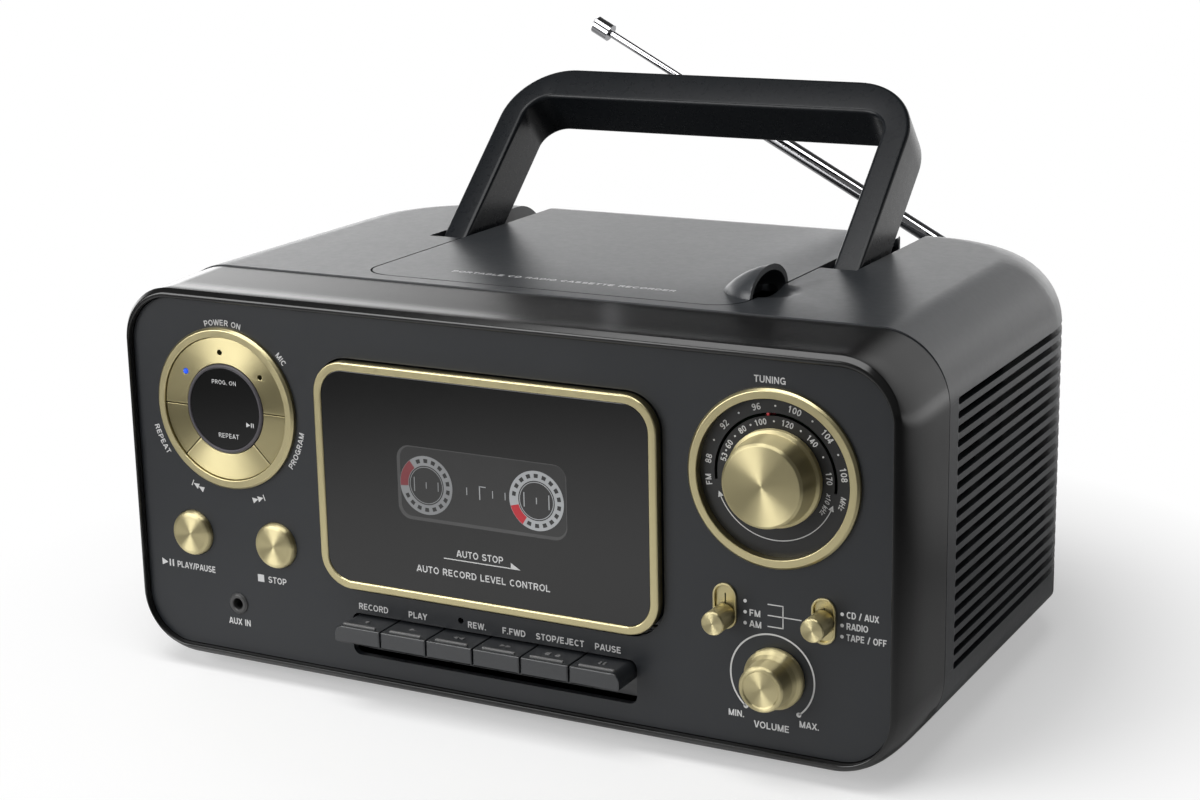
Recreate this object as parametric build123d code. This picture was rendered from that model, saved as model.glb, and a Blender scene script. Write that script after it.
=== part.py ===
from build123d import *
import os
from math import cos, radians, sin

os.makedirs("parts", exist_ok=True)

# Driving dimensions in millimetres. X is right, Y is back, Z is up; while modelling, Y = 0 is the
# face of the front panel and Z = 0 is the floor.

# Cabinet
BODY_W = 301.0
BODY_TOP = 144.0
BODY_REAR = 203.0
FOOT_H = 2.5
WALL = 2.5
LIP = 2.5
LIP_R = 2.0
SEAM_Y = 33.0
TOP_R = 24.0
BASE_R = 28.0
PLAN_R = 61.0
REAR_BASE_R = 8.0

# Front panel
PANEL_RIM = 5.7
PANEL_RIM_LOW = 7.0
PANEL_X = BODY_W / 2 - PANEL_RIM
PANEL_LOW = FOOT_H + PANEL_RIM_LOW
PANEL_HIGH = BODY_TOP - PANEL_RIM
PANEL_R = 17.5
PANEL_T = 2.5
LEDGE = 5.0
SLIP = 0.2
MOVE_GAP = 0.3

# Grille
SLOT_N = 20
SLOT_PITCH = 4.69
SLOT_H = 2.5
SLOT_TOP_Z = 120.0
SLOT_Y = 41.0
SLOT_END_IN = 23.5

# Carrying handle and its channels
HANDLE_HALF = 86.5
HANDLE_LEG = 10.5
HANDLE_BAR = 14.9
HANDLE_REACH = 89.5
HANDLE_DEPTH = 21.0
HANDLE_TILT = 48.0
HANDLE_CORNER = 26.0
HANDLE_INNER_R = 10.0
HANDLE_Y = 123.0
HANDLE_Z = 133.5
HANDLE_EDGE = 1.6
HANDLE_PIN_R = 2.5
CHANNEL_SLIP_IN = 2.0
CHANNEL_SLIP_OUT = 1.5
CHANNEL_IN = HANDLE_HALF - HANDLE_LEG - CHANNEL_SLIP_IN
CHANNEL_OUT = HANDLE_HALF + CHANNEL_SLIP_OUT
CHANNEL_Y = 110.5
CHANNEL_Z = 122.5
NOTCH_Y = 196.0

# CD lid and well
LID_EDGE = 0.5
LID_X = CHANNEL_IN - LID_EDGE
LID_FRONT = 40.0
LID_REAR = 192.0
LID_R = 12.0
LID_REAR_R = 8.0
WELL_R = 5.5
WELL_CORNER = 4.0
LID_T = 3.0
LID_GAP = 0.7
LID_SEAT = 0.1
LID_PIVOT_Y = 182.0
LID_PIVOT_Z = 137.2
LID_PIN_R = 1.2
HINGE_IN = 12.5
HINGE_X = LID_X - HINGE_IN
DISC_Y = 116.0
DISC_R = 61.0
LAND_Z = 127.5
CUP_Z = 124.5
DECK_T = 2.5

# Controls, with each ring midway between the cassette door and the panel's end
DOOR_X = 65.7
RING_SHIFT = 0.25
DIAL_X = (DOOR_X + PANEL_X) / 2 - RING_SHIFT
DIAL_Z = 100.2
RING_OUT = 29.3
RING_IN = 26.0
RING_PROUD = 2.0
RING_COLLAR = 27.6
KEY_RING_OUT = 25.8
KEY_RING_IN = 16.4
DISPLAY_OUT = 16.2
DISPLAY_IN = 14.9
BUTTON_X = 18.2
BUTTON_Z = 51.9
BUTTON_R = 8.2
BUTTON_PROUD = 2.3
JACK_Z = 27.4
JACK_RING = 3.9
JACK_R = 1.75
JACK_DEPTH = 14.0
BOARD_Y = 16.0
BOARD_T = 1.6
KNOB_R = 15.0
KNOB_END_R = 13.8
KNOB_PROUD = 10.0
KNOB_FLANGE = 16.0
POINTER_R = 20.4
POINTER_ANGLE = 7.0
SLIDER_X = 17.0
SLIDER_Z = 55.8
SLIDER_R = 3.93
SLIDER_TRAVEL = 3.7
SLIDER_PROUD = 10.0
PILL_W = 8.2
PILL_H = 15.4
VOLUME_X = DIAL_X + 0.5
VOLUME_Z = 34.2
VOLUME_R = 7.65
VOLUME_FLANGE = 10.2
VOLUME_PROUD = 12.0

# Cassette door
DOOR_LOW = 41.4
DOOR_HIGH = 122.7
DOOR_R = 12.2
DOOR_PROUD = 3.3
DOOR_FACE = 3.1
DOOR_GAP = 0.7
DOOR_SWING_GAP = 1.4
DOOR_BACK = 3.0
DOOR_PIVOT_Y = 1.25
DOOR_PIVOT_Z = 44.0
DOOR_PIN_R = 0.9

# Cassette mechanism
BAY_DEPTH = 17.0
CHASSIS_T = 2.0
REEL_X = 21.25
REEL_Z = 83.0
CAPSTAN_X = -14.0
CAPSTAN_Z = 57.0
FLYWHEEL_R = 20.0
MOTOR_X = 40.0
MOTOR_Z = 62.0
PULLEY_R = 4.0
BELT_T = 1.0

# Piano keys
KEY_N = 6
KEY_PITCH = 18.4
KEY_GAP = 0.6
KEY_REACH = 12.0
KEY_TOP = 31.0
KEY_LIP_TOP = 28.8
KEY_LIP_LOW = 25.0
KEY_PIVOT_Y = 25.0
KEY_PIVOT_Z = 24.0
KEY_SHAFT_R = 1.5
KEYS_X = KEY_N * KEY_PITCH / 2 - KEY_GAP / 2
KEYS_SIDE = 1.0
EAR_SIDE = 1.6
RECESS_X = KEYS_X + KEYS_SIDE
RECESS_LOW = 16.2
RECESS_HIGH = 31.7

# Antenna
ANTENNA_IN = 32.5
ANTENNA_X = BODY_W / 2 - ANTENNA_IN
ANTENNA_Y = 217.0
ANTENNA_Z = 114.5
ANTENNA_ANGLE = 28.2
ANTENNA_TUBE = 152.0
TUBE_R = 3.2
SECTION_R = (2.65, 2.1)
TIP_R = 1.5
SECTION_OUT = 8.0
TIP_OUT = 38.0
CAP_R = 3.6
CAP_L = 8.2
FORK_R = 4.0

# Power
BAY_X0 = -86.0
BAY_X1 = 46.0
BAY_LOW = 14.0
BAY_HIGH = 56.0
BAY_Y = 148.0

FRONT_MOST = -KEY_REACH
REAR_MOST = ANTENNA_Y + FORK_R
MID_Y = (FRONT_MOST + REAR_MOST) / 2
BIG = 400.0


def block(x0, x1, y0, y1, z0, z1):
    """A plain block between the given limits."""
    middle = Pos((x0 + x1) / 2, (y0 + y1) / 2, (z0 + z1) / 2)
    return middle * Box(x1 - x0, y1 - y0, z1 - z0)


def along_x(sketch, x0, x1):
    """A side outline, Y across and Z up, made solid between two X values."""
    return extrude(Plane.YZ.offset(x0) * sketch, x1 - x0)


def along_y(sketch, y0, y1):
    """A front outline, X across and Z up, made solid between two Y values."""
    return extrude(Plane.XZ.offset(-y0) * sketch, y0 - y1)


def along_z(sketch, z0, z1):
    """A plan outline made solid between two Z values."""
    return extrude(Plane.XY.offset(z0) * sketch, z1 - z0)


def rod_x(y, z, r, x0, x1):
    return along_x(Pos(y, z) * Circle(r), x0, x1)


def rod_y(x, z, r, y0, y1):
    return along_y(Pos(x, z) * Circle(r), y0, y1)


def rod_z(x, y, r, z0, z1):
    return along_z(Pos(x, y) * Circle(r), z0, z1)


def plate(x0, x1, z0, z1, r):
    """A rounded outline between the given limits."""
    return Pos((x0 + x1) / 2, (z0 + z1) / 2) * RectangleRounded(x1 - x0, z1 - z0, r)


def turned_y(x, z, outline):
    """A turned piece about a front to back line; the outline holds (radius, y) corners."""
    face = make_face(Polyline(*outline, close=True))
    return Pos(x, 0, z) * revolve(face, Axis.Y)


def turned_x(y, z, outline):
    """A turned piece about a sideways line; the outline holds (x, radius) corners."""
    face = make_face(Polyline(*outline, close=True))
    return Pos(0, y, z) * revolve(face, Axis.X)


def turned_z(x, y, outline):
    """A turned piece about an upright line; the outline holds (radius, z) corners."""
    face = make_face(Plane.XZ * Polyline(*outline, close=True))
    return Pos(x, y, 0) * revolve(face, Axis.Z)


def mirrored(shape):
    return mirror(shape, Plane.YZ)


def keep(name, *shapes):
    """Writes one sub-part, moved so that the origin is under the middle of the whole set."""
    solids = [solid for shape in shapes for solid in shape.solids()]
    whole = solids[0] if len(solids) == 1 else Compound(solids)
    export_step(whole.moved(Location((0, -MID_Y, 0))), f"parts/{name}.step")


def form(inset):
    """The cabinet's outer form, moved inwards by the given amount and open to the front."""
    half = BODY_W / 2 - inset
    low = FOOT_H + inset
    high = BODY_TOP - inset
    rear = BODY_REAR - inset
    front = -LIP - inset
    plan = Pos(0, (front + rear) / 2) * Rectangle(2 * half, rear - front)
    plan = fillet(plan.vertices().sort_by(Axis.Y)[-2:], PLAN_R - inset)
    shape = along_z(plan, low, high)
    rim = shape.faces().sort_by(Axis.Z)[-1].edges()
    shape = fillet([e for e in rim if e.center().Y > front + 1], TOP_R - inset)
    rim = shape.faces().sort_by(Axis.Z)[0].edges()
    shape = fillet([e for e in rim if e.center().Y > front + 1], REAR_BASE_R - inset)
    r = BASE_R - inset
    corner = Pos(half + (5 - r) / 2, low + (r - 5) / 2) * Rectangle(r + 5, r + 5)
    corner = along_y(corner - Pos(half - r, low + r) * Circle(r), front - 1, rear + 1)
    return shape - corner - mirrored(corner)


outer = form(0)
inner = form(WALL)
lid_inner = form(LID_T)

# ---------------------------------------------------------------- front cabinet and front panel
panel_outline = plate(-PANEL_X, PANEL_X, PANEL_LOW, PANEL_HIGH, PANEL_R)
panel_hole = plate(
    -PANEL_X - SLIP, PANEL_X + SLIP, PANEL_LOW - SLIP, PANEL_HIGH + SLIP, PANEL_R + SLIP
)
ledge_hole = plate(
    -PANEL_X + LEDGE, PANEL_X - LEDGE, PANEL_LOW + LEDGE, PANEL_HIGH - LEDGE, PANEL_R - LEDGE
)
LEDGE_BACK = PANEL_T + WALL
POST_OUT = 12.0
POST_X = CHANNEL_OUT + POST_OUT
POST_Z = (BODY_TOP - 12.0, FOOT_H + 9.5)
POST_R = 4.0
POST_END = 57.0
SCREW_R = 1.5
SCREW_L = 14.0

front = outer & block(-BIG, BIG, -LIP, SEAM_Y, 0, BIG)
front = fillet(front.faces().sort_by(Axis.Y)[0].edges(), LIP_R)
front -= inner & block(-BIG, BIG, LEDGE_BACK, SEAM_Y, 0, BIG)
front -= along_y(panel_hole, -LIP - 1, PANEL_T)
front -= along_y(ledge_hole, PANEL_T - 1, LEDGE_BACK + 1)
for z in POST_Z:
    post = rod_y(POST_X, z, POST_R, PANEL_T, POST_END)
    post -= rod_y(POST_X, z, SCREW_R, POST_END - SCREW_L, POST_END + 1)
    front += post + mirrored(post)
keep("front_cabinet", front)

door_hole = plate(
    -DOOR_X - DOOR_GAP,
    DOOR_X + DOOR_GAP,
    DOOR_LOW - DOOR_SWING_GAP,
    DOOR_HIGH + DOOR_GAP,
    DOOR_R + DOOR_GAP,
)
key_hole = plate(-RECESS_X, RECESS_X, RECESS_LOW, RECESS_HIGH, 3.0)
SLOT_W = 2.6
slider_slot = SlotCenterToCenter(2 * SLIDER_TRAVEL, SLOT_W, rotation=90)

panel = along_y(panel_outline, 0, PANEL_T)
panel -= along_y(door_hole, -1, PANEL_T + 1)
panel -= along_y(key_hole, -1, PANEL_T + 1)
for x in (-DIAL_X, DIAL_X):
    panel -= rod_y(x, DIAL_Z, RING_COLLAR, -1, PANEL_T + 1)
for x in (-BUTTON_X, BUTTON_X):
    panel -= rod_y(x - DIAL_X, BUTTON_Z, BUTTON_R + MOVE_GAP, -1, PANEL_T + 1)
panel -= rod_y(-DIAL_X, JACK_Z, JACK_RING - 0.6, -1, PANEL_T + 1)
for x in (-SLIDER_X, SLIDER_X):
    pill = plate(-PILL_W / 2 + 0.8, PILL_W / 2 - 0.8, -PILL_H / 2 + 0.8, PILL_H / 2 - 0.8, 3.2)
    panel -= along_y(Pos(DIAL_X + x, SLIDER_Z) * pill, -1, PANEL_T + 1)
panel -= rod_y(VOLUME_X, VOLUME_Z, 3.5, -1, PANEL_T + 1)
panel -= rod_y(-11.4, 35.3, 1.1, -1, PANEL_T + 1)
door_pin = rod_x(DOOR_PIVOT_Y, DOOR_PIVOT_Z, DOOR_PIN_R, DOOR_X - 8.7, DOOR_X - 0.7)
panel += door_pin + mirrored(door_pin)
TRAY_SIDE = 2.9
TRAY_X = DOOR_X + TRAY_SIDE
BOARD_X0 = TRAY_X + 3.4
BOARD_X1 = PANEL_X - LEDGE - 0.8
BOARD_Z0 = PANEL_LOW + LEDGE + 4.5
BOARD_Z1 = PANEL_HIGH - LEDGE - 7.3
POST_SPOTS = (
    (BOARD_X0 + 3.5, BOARD_Z1 - 4.0),
    (BOARD_X1 - 4.0, (BOARD_Z0 + BOARD_Z1) / 2),
    (BOARD_X1 - 4.0, BOARD_Z0 + 5.0),
    (BOARD_X0 + 4.0, BOARD_Z0 + 5.0),
)
keep("front_panel", panel)

# ---------------------------------------------------------------- rear cabinet
zone = block(-BIG, BIG, SEAM_Y, BIG, 0, BIG)
rear = (outer & zone) - inner
side = block(
    CHANNEL_IN - WALL, CHANNEL_OUT + WALL, CHANNEL_Y - WALL, BIG, CHANNEL_Z - WALL, BIG
)
back = block(-CHANNEL_OUT, CHANNEL_OUT, NOTCH_Y - WALL, BIG, CHANNEL_Z - WALL, BIG)
bay = block(
    BAY_X0 - WALL, BAY_X1 + WALL, BAY_Y - WALL, BODY_REAR - 1, FOOT_H + 1, BAY_HIGH + WALL
)
rear += (side + mirrored(side) + back + bay) & outer
rear -= block(BAY_X0, BAY_X1, BAY_Y, BODY_REAR + 1, BAY_LOW, BAY_HIGH)
# The handle lies in a channel round the lid's well, whose rear corners follow the handle's own
moat = Pos(0, CHANNEL_Y + BIG / 2) * Rectangle(2 * CHANNEL_OUT, BIG)
island = Pos(0, NOTCH_Y - BIG / 2) * Rectangle(2 * CHANNEL_IN, BIG)
island = fillet(island.vertices().sort_by(Axis.Y)[-2:], HANDLE_INNER_R - WELL_CORNER)
rear -= along_z(moat - island, CHANNEL_Z, BIG)


def lid_plan(grow, rear_y, rear_r):
    """The lid's outline from above, with rounded corners."""
    x = LID_X + grow
    y0 = LID_FRONT - grow
    shape = Pos(0, (y0 + rear_y) / 2) * Rectangle(2 * x, rear_y - y0)
    shape = fillet(shape.vertices().sort_by(Axis.Y)[:2], LID_R + grow)
    return fillet(shape.vertices().sort_by(Axis.Y)[-2:], rear_r)


WELL_REAR = NOTCH_Y - WALL
rear -= along_z(lid_plan(LID_GAP, WELL_REAR, WELL_R), CHANNEL_Z + 5, BIG) - form(LID_T + LID_SEAT)
rear -= Pos(CHANNEL_IN, 68.0, BODY_TOP + 38.4) * Sphere(40.0)
# The well's side walls stop below the hinge, where the lid's tail swings down
well_x = LID_X + LID_GAP
relief = block(-well_x, well_x, LID_PIVOT_Y - 2.0, WELL_REAR, LAND_Z + 0.5, BIG)
rear -= relief & along_z(lid_plan(LID_GAP, WELL_REAR, WELL_R), 0, BIG)

slots = []
for n in range(SLOT_N):
    z = SLOT_TOP_Z - n * SLOT_PITCH
    outline = plate(SLOT_Y, BODY_REAR + 10, z - SLOT_H / 2, z + SLOT_H / 2, 1.0)
    cut = along_x(outline, BODY_W / 2 - SLOT_END_IN, BODY_W / 2 + 1)
    slots.append(cut)
    slots.append(mirrored(cut))
rear = rear - slots

pin_hole = rod_x(HANDLE_Y, HANDLE_Z, HANDLE_PIN_R, CHANNEL_OUT - 1, CHANNEL_OUT + WALL + 1)
rear -= pin_hole + mirrored(pin_hole)

BOSS_R = 7.0
BOSS_Y = 207.0
boss = rod_y(ANTENNA_X, ANTENNA_Z, BOSS_R, 185.0, BOSS_Y) - inner
rear += boss

# Screw wells run forward from the back wall to meet the posts
SINK_R = 3.4
SINK_FLOOR = 3.0
wells = []
for z in POST_Z:
    for x in (-POST_X, POST_X):
        tube = rod_y(x, z, SINK_R + 1.6, POST_END, BODY_REAR) & outer
        rear += tube
        wells.append(rod_y(x, z, SINK_R, POST_END + SINK_FLOOR, BODY_REAR + 5))
        wells.append(rod_y(x, z, SCREW_R, POST_END - 1, POST_END + 4))
rear = rear - wells

# Mains inlet opening and the battery door's lower tab slots
INLET_X = 68.0
INLET_Z = 30.0
INLET_W = 19.0
INLET_H = 12.0
inlet_hole = plate(-INLET_W / 2, INLET_W / 2, -INLET_H / 2, INLET_H / 2, 2.0)
inlet_hole = Pos(INLET_X, INLET_Z) * inlet_hole
rear -= along_y(inlet_hole, BODY_REAR - 10, BODY_REAR + 1)
keep("rear_cabinet", rear)

# ---------------------------------------------------------------- feet and screws
feet = []
FOOT_X = BODY_W / 2 - 45.5
FOOT_X_REAR = BODY_W / 2 - 58.5
for x, y in ((-FOOT_X, 42.0), (FOOT_X, 42.0), (-FOOT_X_REAR, 160.0), (FOOT_X_REAR, 160.0)):
    foot = rod_z(x, y, 8.0, 0, FOOT_H)
    feet.append(chamfer(foot.edges().sort_by(Axis.Z)[0], 0.8))
keep("feet", *feet)

screws = []
for z in POST_Z:
    for x in (-POST_X, POST_X):
        seat = POST_END + SINK_FLOOR
        head = rod_y(x, z, 2.9, seat, seat + 2.2)
        head -= along_y(Pos(x, z) * RectangleRounded(3.6, 0.9, 0.2), seat + 1.2, seat + 3)
        head -= along_y(Pos(x, z) * RectangleRounded(0.9, 3.6, 0.2), seat + 1.2, seat + 3)
        screws.append(head + rod_y(x, z, SCREW_R, seat - SCREW_L + 1, seat))
keep("cabinet_screws", *screws)

# ---------------------------------------------------------------- CD lid
lid = (outer & along_z(lid_plan(0, LID_REAR, LID_REAR_R), CHANNEL_Z + 5, BIG)) - lid_inner
HOOD_Y = 68.0
HOOD_W = 16.0
HOOD_H = 9.5
HOOD_L = 14.9
HOOD_TIP = LID_X - HOOD_L


def hood(shrink, reach):
    """A half dome lying on its side, its mouth towards the end of the cabinet."""
    rings = []
    for t, k in ((0.0, 1.0), (0.5, 0.74), (0.85, 0.36), (1.0, 0.12)):
        x = reach + (HOOD_TIP + shrink - reach) * t
        ring = Ellipse(HOOD_W * k - shrink * (0.4 + 0.6 * k), HOOD_H * k - shrink * (0.2 + 0.8 * k) * k)
        rings.append(Plane.YZ.offset(x) * Pos(HOOD_Y - 3.0 * t, BODY_TOP - 0.6) * ring)
    return loft(rings)


lid += hood(0, LID_X) & block(0, LID_X, 0, 100, BODY_TOP - 1, BIG)
lid -= hood(2.0, LID_X + 0.5)
lid -= block(LID_X - 8.0, LID_X + 1, HOOD_Y - 12, HOOD_Y + 12, BODY_TOP - LID_T - 1, BODY_TOP)
# Clamp cage under the lid
CAGE_R = 17.0
CAGE_LOW = 132.5
cage = turned_z(
    0,
    DISC_Y,
    (
        (CAGE_R - 2, CAGE_LOW + 2),
        (10.0, CAGE_LOW + 2),
        (10.0, CAGE_LOW),
        (CAGE_R, CAGE_LOW),
        (CAGE_R, BODY_TOP - LID_T),
        (CAGE_R - 2, BODY_TOP - LID_T),
    ),
)
lid += cage
BARREL_W = 6.0
BARREL_R = 2.5
barrel = rod_x(LID_PIVOT_Y, LID_PIVOT_Z, BARREL_R, HINGE_X - BARREL_W / 2, HINGE_X + BARREL_W / 2)
barrel += block(
    HINGE_X - BARREL_W / 2,
    HINGE_X + BARREL_W / 2,
    LID_PIVOT_Y - BARREL_R,
    LID_PIVOT_Y + BARREL_R,
    LID_PIVOT_Z,
    BODY_TOP - LID_T - 0.0,
) & form(LID_T)
barrel -= rod_x(LID_PIVOT_Y, LID_PIVOT_Z, LID_PIN_R + 0.15, 0, BIG)
lid += barrel + mirrored(barrel)
keep("cd_lid", lid)

puck = turned_z(
    0,
    DISC_Y,
    (
        (0, 130.6),
        (8.0, 130.6),
        (8.0, 129.0),
        (14.0, 129.0),
        (14.0, 131.0),
        (9.0, 131.0),
        (9.0, CAGE_LOW + 2.1),
        (13.0, CAGE_LOW + 2.1),
        (13.0, CAGE_LOW + 3.6),
        (0, CAGE_LOW + 3.6),
    ),
)
keep("clamp_puck", puck)

# ---------------------------------------------------------------- CD deck
WELL_X = CHANNEL_IN - WALL
DECK_X = LID_X + LID_GAP
under_top = BODY_TOP - WALL
deck = block(-WELL_X, WELL_X, CHANNEL_Y - WALL, WELL_REAR, LAND_Z - DECK_T, LAND_Z)
deck += block(
    -DECK_X - DECK_T,
    DECK_X + DECK_T,
    LID_FRONT - LID_GAP - DECK_T,
    CHANNEL_Y - WALL,
    LAND_Z - DECK_T,
    under_top,
)
deck -= block(
    -DECK_X, DECK_X, LID_FRONT - LID_GAP, CHANNEL_Y - WALL + 1, LAND_Z, BIG
)
cup = rod_z(0, DISC_Y, DISC_R + DECK_T, CUP_Z - DECK_T, LAND_Z)
deck += cup & block(-WELL_X, WELL_X, 0, BIG, 0, BIG)
deck -= rod_z(0, DISC_Y, DISC_R, CUP_Z, LAND_Z + 1)
deck -= rod_z(0, DISC_Y, 18.0, CUP_Z - 5, CUP_Z + 1)
deck -= block(-DISC_R + 1, 0, DISC_Y - 11, DISC_Y + 11, CUP_Z - 5, CUP_Z + 1)
EAR_W = 3.0
for x in (HINGE_X - BARREL_W / 2 - 0.5 - EAR_W, HINGE_X + BARREL_W / 2 + 0.5):
    ear = block(x, x + EAR_W, LID_PIVOT_Y - BARREL_R, LID_PIVOT_Y + BARREL_R, LAND_Z, LID_PIVOT_Z + 2.4)
    deck += ear + mirrored(ear)
pin_l = BARREL_W / 2 + 0.5 + EAR_W
pin = rod_x(LID_PIVOT_Y, LID_PIVOT_Z, LID_PIN_R, HINGE_X - pin_l, HINGE_X + pin_l)
keep("cd_deck", deck + pin + mirrored(pin))

# ---------------------------------------------------------------- CD mechanism
MECH_Z = 112.0
SLED_X = 24.0
SLED_RUN = 32.0
under_cup = CUP_Z - DECK_T
mech = block(-66.0, 24.0, DISC_Y - 22, DISC_Y + 22, MECH_Z, MECH_Z + 1.5)
mech -= block(-60.0, -16.0, DISC_Y - 7, DISC_Y + 7, MECH_Z - 1, MECH_Z + 3)
for x, y in ((-40.0, 18.0), (-40.0, -18.0), (20.0, 18.0), (20.0, -18.0)):
    mech += rod_z(x, DISC_Y + y, 3.0, MECH_Z + 1.5, under_cup)
mech += rod_z(0, DISC_Y, 12.0, MECH_Z - 12, MECH_Z)
mech -= rod_z(0, DISC_Y, 1.0, MECH_Z - 10, MECH_Z + 3)
RAIL_Z = MECH_Z + 5.0
RAIL_R = 1.0
for y in (-9.5, 9.5):
    for x in (-65.0, -18.0):
        mech += block(x, x + 2.0, DISC_Y + y - 2, DISC_Y + y + 2, MECH_Z + 1.5, RAIL_Z + 2)
    mech += rod_x(DISC_Y + y, RAIL_Z, RAIL_R, -65.0, -16.0)
keep("cd_mechanism", mech)

sled = block(-SLED_X - 6, -SLED_X + 4, DISC_Y - 12.5, DISC_Y + 12.5, RAIL_Z - 2.5, RAIL_Z + 2.5)
sled += block(-SLED_X - 3.5, -SLED_X + 3, DISC_Y - 6, DISC_Y + 6, RAIL_Z + 2.5, CUP_Z - 1.0)
sled += rod_z(-SLED_X - 1, DISC_Y, 2.4, CUP_Z - 1.0, CUP_Z + 0.6)
for y in (-9.5, 9.5):
    sled -= rod_x(DISC_Y + y, RAIL_Z, RAIL_R + 0.1, -SLED_X - 10, -SLED_X + 10)
keep("laser_sled", sled)

table = turned_z(
    0,
    DISC_Y,
    (
        (0, MECH_Z - 9.9),
        (0.95, MECH_Z - 9.9),
        (0.95, CUP_Z - 1.5),
        (15.0, CUP_Z - 1.5),
        (15.0, CUP_Z + 2.8),
        (7.4, CUP_Z + 2.8),
        (7.4, CUP_Z + 4.3),
        (6.2, CUP_Z + 5.6),
        (0, CUP_Z + 5.6),
    ),
)
keep("cd_turntable", table)

# ---------------------------------------------------------------- carrying handle
HANDLE_TAIL = 20.0
arch = plate(-HANDLE_HALF, HANDLE_HALF, -3 * HANDLE_CORNER, HANDLE_REACH, HANDLE_CORNER)
arch -= plate(
    -HANDLE_HALF + HANDLE_LEG,
    HANDLE_HALF - HANDLE_LEG,
    -4 * HANDLE_CORNER,
    HANDLE_REACH - HANDLE_BAR,
    HANDLE_INNER_R,
)
arch &= Pos(0, (HANDLE_REACH - HANDLE_TAIL) / 2) * Rectangle(BIG, HANDLE_REACH + HANDLE_TAIL)
grip = along_y(arch, -HANDLE_DEPTH / 2, HANDLE_DEPTH / 2)
rims = [e for e in grip.faces().filter_by(Axis.Y).edges() if e.center().Z > -HANDLE_TAIL + 1]
grip = fillet(rims, HANDLE_EDGE)
hub = rod_x(0, 0, HANDLE_DEPTH / 2, -BIG, BIG)
grip &= block(-BIG, BIG, -BIG, BIG, 0, BIG) + hub
PIN_IN = 9.0
bore = rod_x(0, 0, HANDLE_PIN_R + 0.1, HANDLE_HALF - PIN_IN, BIG)
grip = grip - bore - mirrored(bore)
grip = Pos(0, HANDLE_Y, HANDLE_Z) * Rot(-HANDLE_TILT, 0, 0) * grip
keep("handle", grip)
pin = rod_x(HANDLE_Y, HANDLE_Z, HANDLE_PIN_R, HANDLE_HALF - PIN_IN + 0.5, CHANNEL_OUT + WALL + 1)
keep("handle_pins", pin, mirrored(pin))

# ---------------------------------------------------------------- rings, dial and knobs
BEVEL = 0.8


def trim_ring(inside, outside, collar):
    """A proud ring with a bevelled face and a collar that sits in the panel's hole."""
    return (
        (inside, -RING_PROUD),
        (outside - BEVEL, -RING_PROUD),
        (outside, -RING_PROUD + BEVEL),
        (outside, 0),
        (collar, 0),
        (collar, PANEL_T),
        (inside, PANEL_T),
    )


ring = turned_y(DIAL_X, DIAL_Z, trim_ring(RING_IN, RING_OUT, RING_COLLAR))
keep("ring_trims", ring, mirrored(ring))


def sector(inside, outside, a0, a1, trim):
    """A ring sector between two angles, counted from the right, with a gap trimmed off each end."""
    ring = Circle(outside) - Circle(inside)
    far = 3 * outside
    a, b = radians(a0), radians(a1)
    middle = (a + b) / 2
    start = (trim * -sin(a), trim * cos(a))
    end = (trim * sin(b), trim * -cos(b))
    wedge = make_face(
        Polyline(
            (start[0], start[1]),
            (start[0] + far * cos(a), start[1] + far * sin(a)),
            (far * cos(middle) * 1.5, far * sin(middle) * 1.5),
            (end[0] + far * cos(b), end[1] + far * sin(b)),
            (end[0], end[1]),
            close=True,
        )
    )
    return Pos(-DIAL_X, DIAL_Z) * (ring & wedge)


KEY_FACE = 1.2
SPLIT = 0.3
FLANGE_Y = PANEL_T + 0.2
FLANGE_T = 1.0
FLANGE_OUT = RING_COLLAR - 0.4
SPOT_R = 20.4
LED_SPOTS = [
    (-DIAL_X + SPOT_R * cos(radians(a)), DIAL_Z + SPOT_R * sin(radians(a)))
    for a in (143.4, 92.9, 39.5)
]
arc = along_y(sector(KEY_RING_IN, KEY_RING_OUT, 0, 180, SPLIT / 2), -KEY_FACE, PANEL_T + 0.2)
arc += along_y(sector(KEY_RING_IN, FLANGE_OUT, 0, 180, SPLIT / 2), PANEL_T, FLANGE_Y + FLANGE_T)
for x, z in LED_SPOTS:
    arc -= rod_y(x, z, 0.9, -5, 10)
keep("control_plate", arc)
light = rod_y(LED_SPOTS[0][0], LED_SPOTS[0][1], 0.9, -KEY_FACE - 0.2, BOARD_Y)

STEM_R = 2.0
STEM_END = 14.6


def ring_key(a0, a1, flange_y, stem_angle, stem_end):
    """One key of the control ring with its hidden flange and its stem."""
    key = along_y(sector(KEY_RING_IN, KEY_RING_OUT, a0, a1, SPLIT / 2), -KEY_FACE, flange_y)
    wide = sector(KEY_RING_IN + 0.6, FLANGE_OUT, a0, a1, SPLIT / 2 + 0.5)
    key += along_y(wide, flange_y, flange_y + FLANGE_T)
    middle = (KEY_RING_IN + KEY_RING_OUT) / 2
    a = radians(stem_angle)
    x = -DIAL_X + middle * cos(a)
    z = DIAL_Z + middle * sin(a)
    return key + rod_y(x, z, STEM_R, flange_y + FLANGE_T, stem_end)


keep("repeat_key", ring_key(180, 225, FLANGE_Y, 202.5, STEM_END))
keep("program_key", ring_key(315, 360, FLANGE_Y, 337.5, STEM_END))
ROCKER_Y = 3.2
keep("skip_key", ring_key(225, 315, ROCKER_Y, 270, 8.0))

bezel = turned_y(
    -DIAL_X,
    DIAL_Z,
    (
        (DISPLAY_IN, -KEY_FACE - 0.5),
        (DISPLAY_OUT - 0.4, -KEY_FACE - 0.5),
        (DISPLAY_OUT, -KEY_FACE),
        (DISPLAY_OUT, BOARD_Y),
        (DISPLAY_IN, BOARD_Y),
    ),
)
keep("display_bezel", bezel)
keep("display_lens", rod_y(-DIAL_X, DIAL_Z, DISPLAY_IN, -KEY_FACE - 0.1, 0.8))

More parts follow.
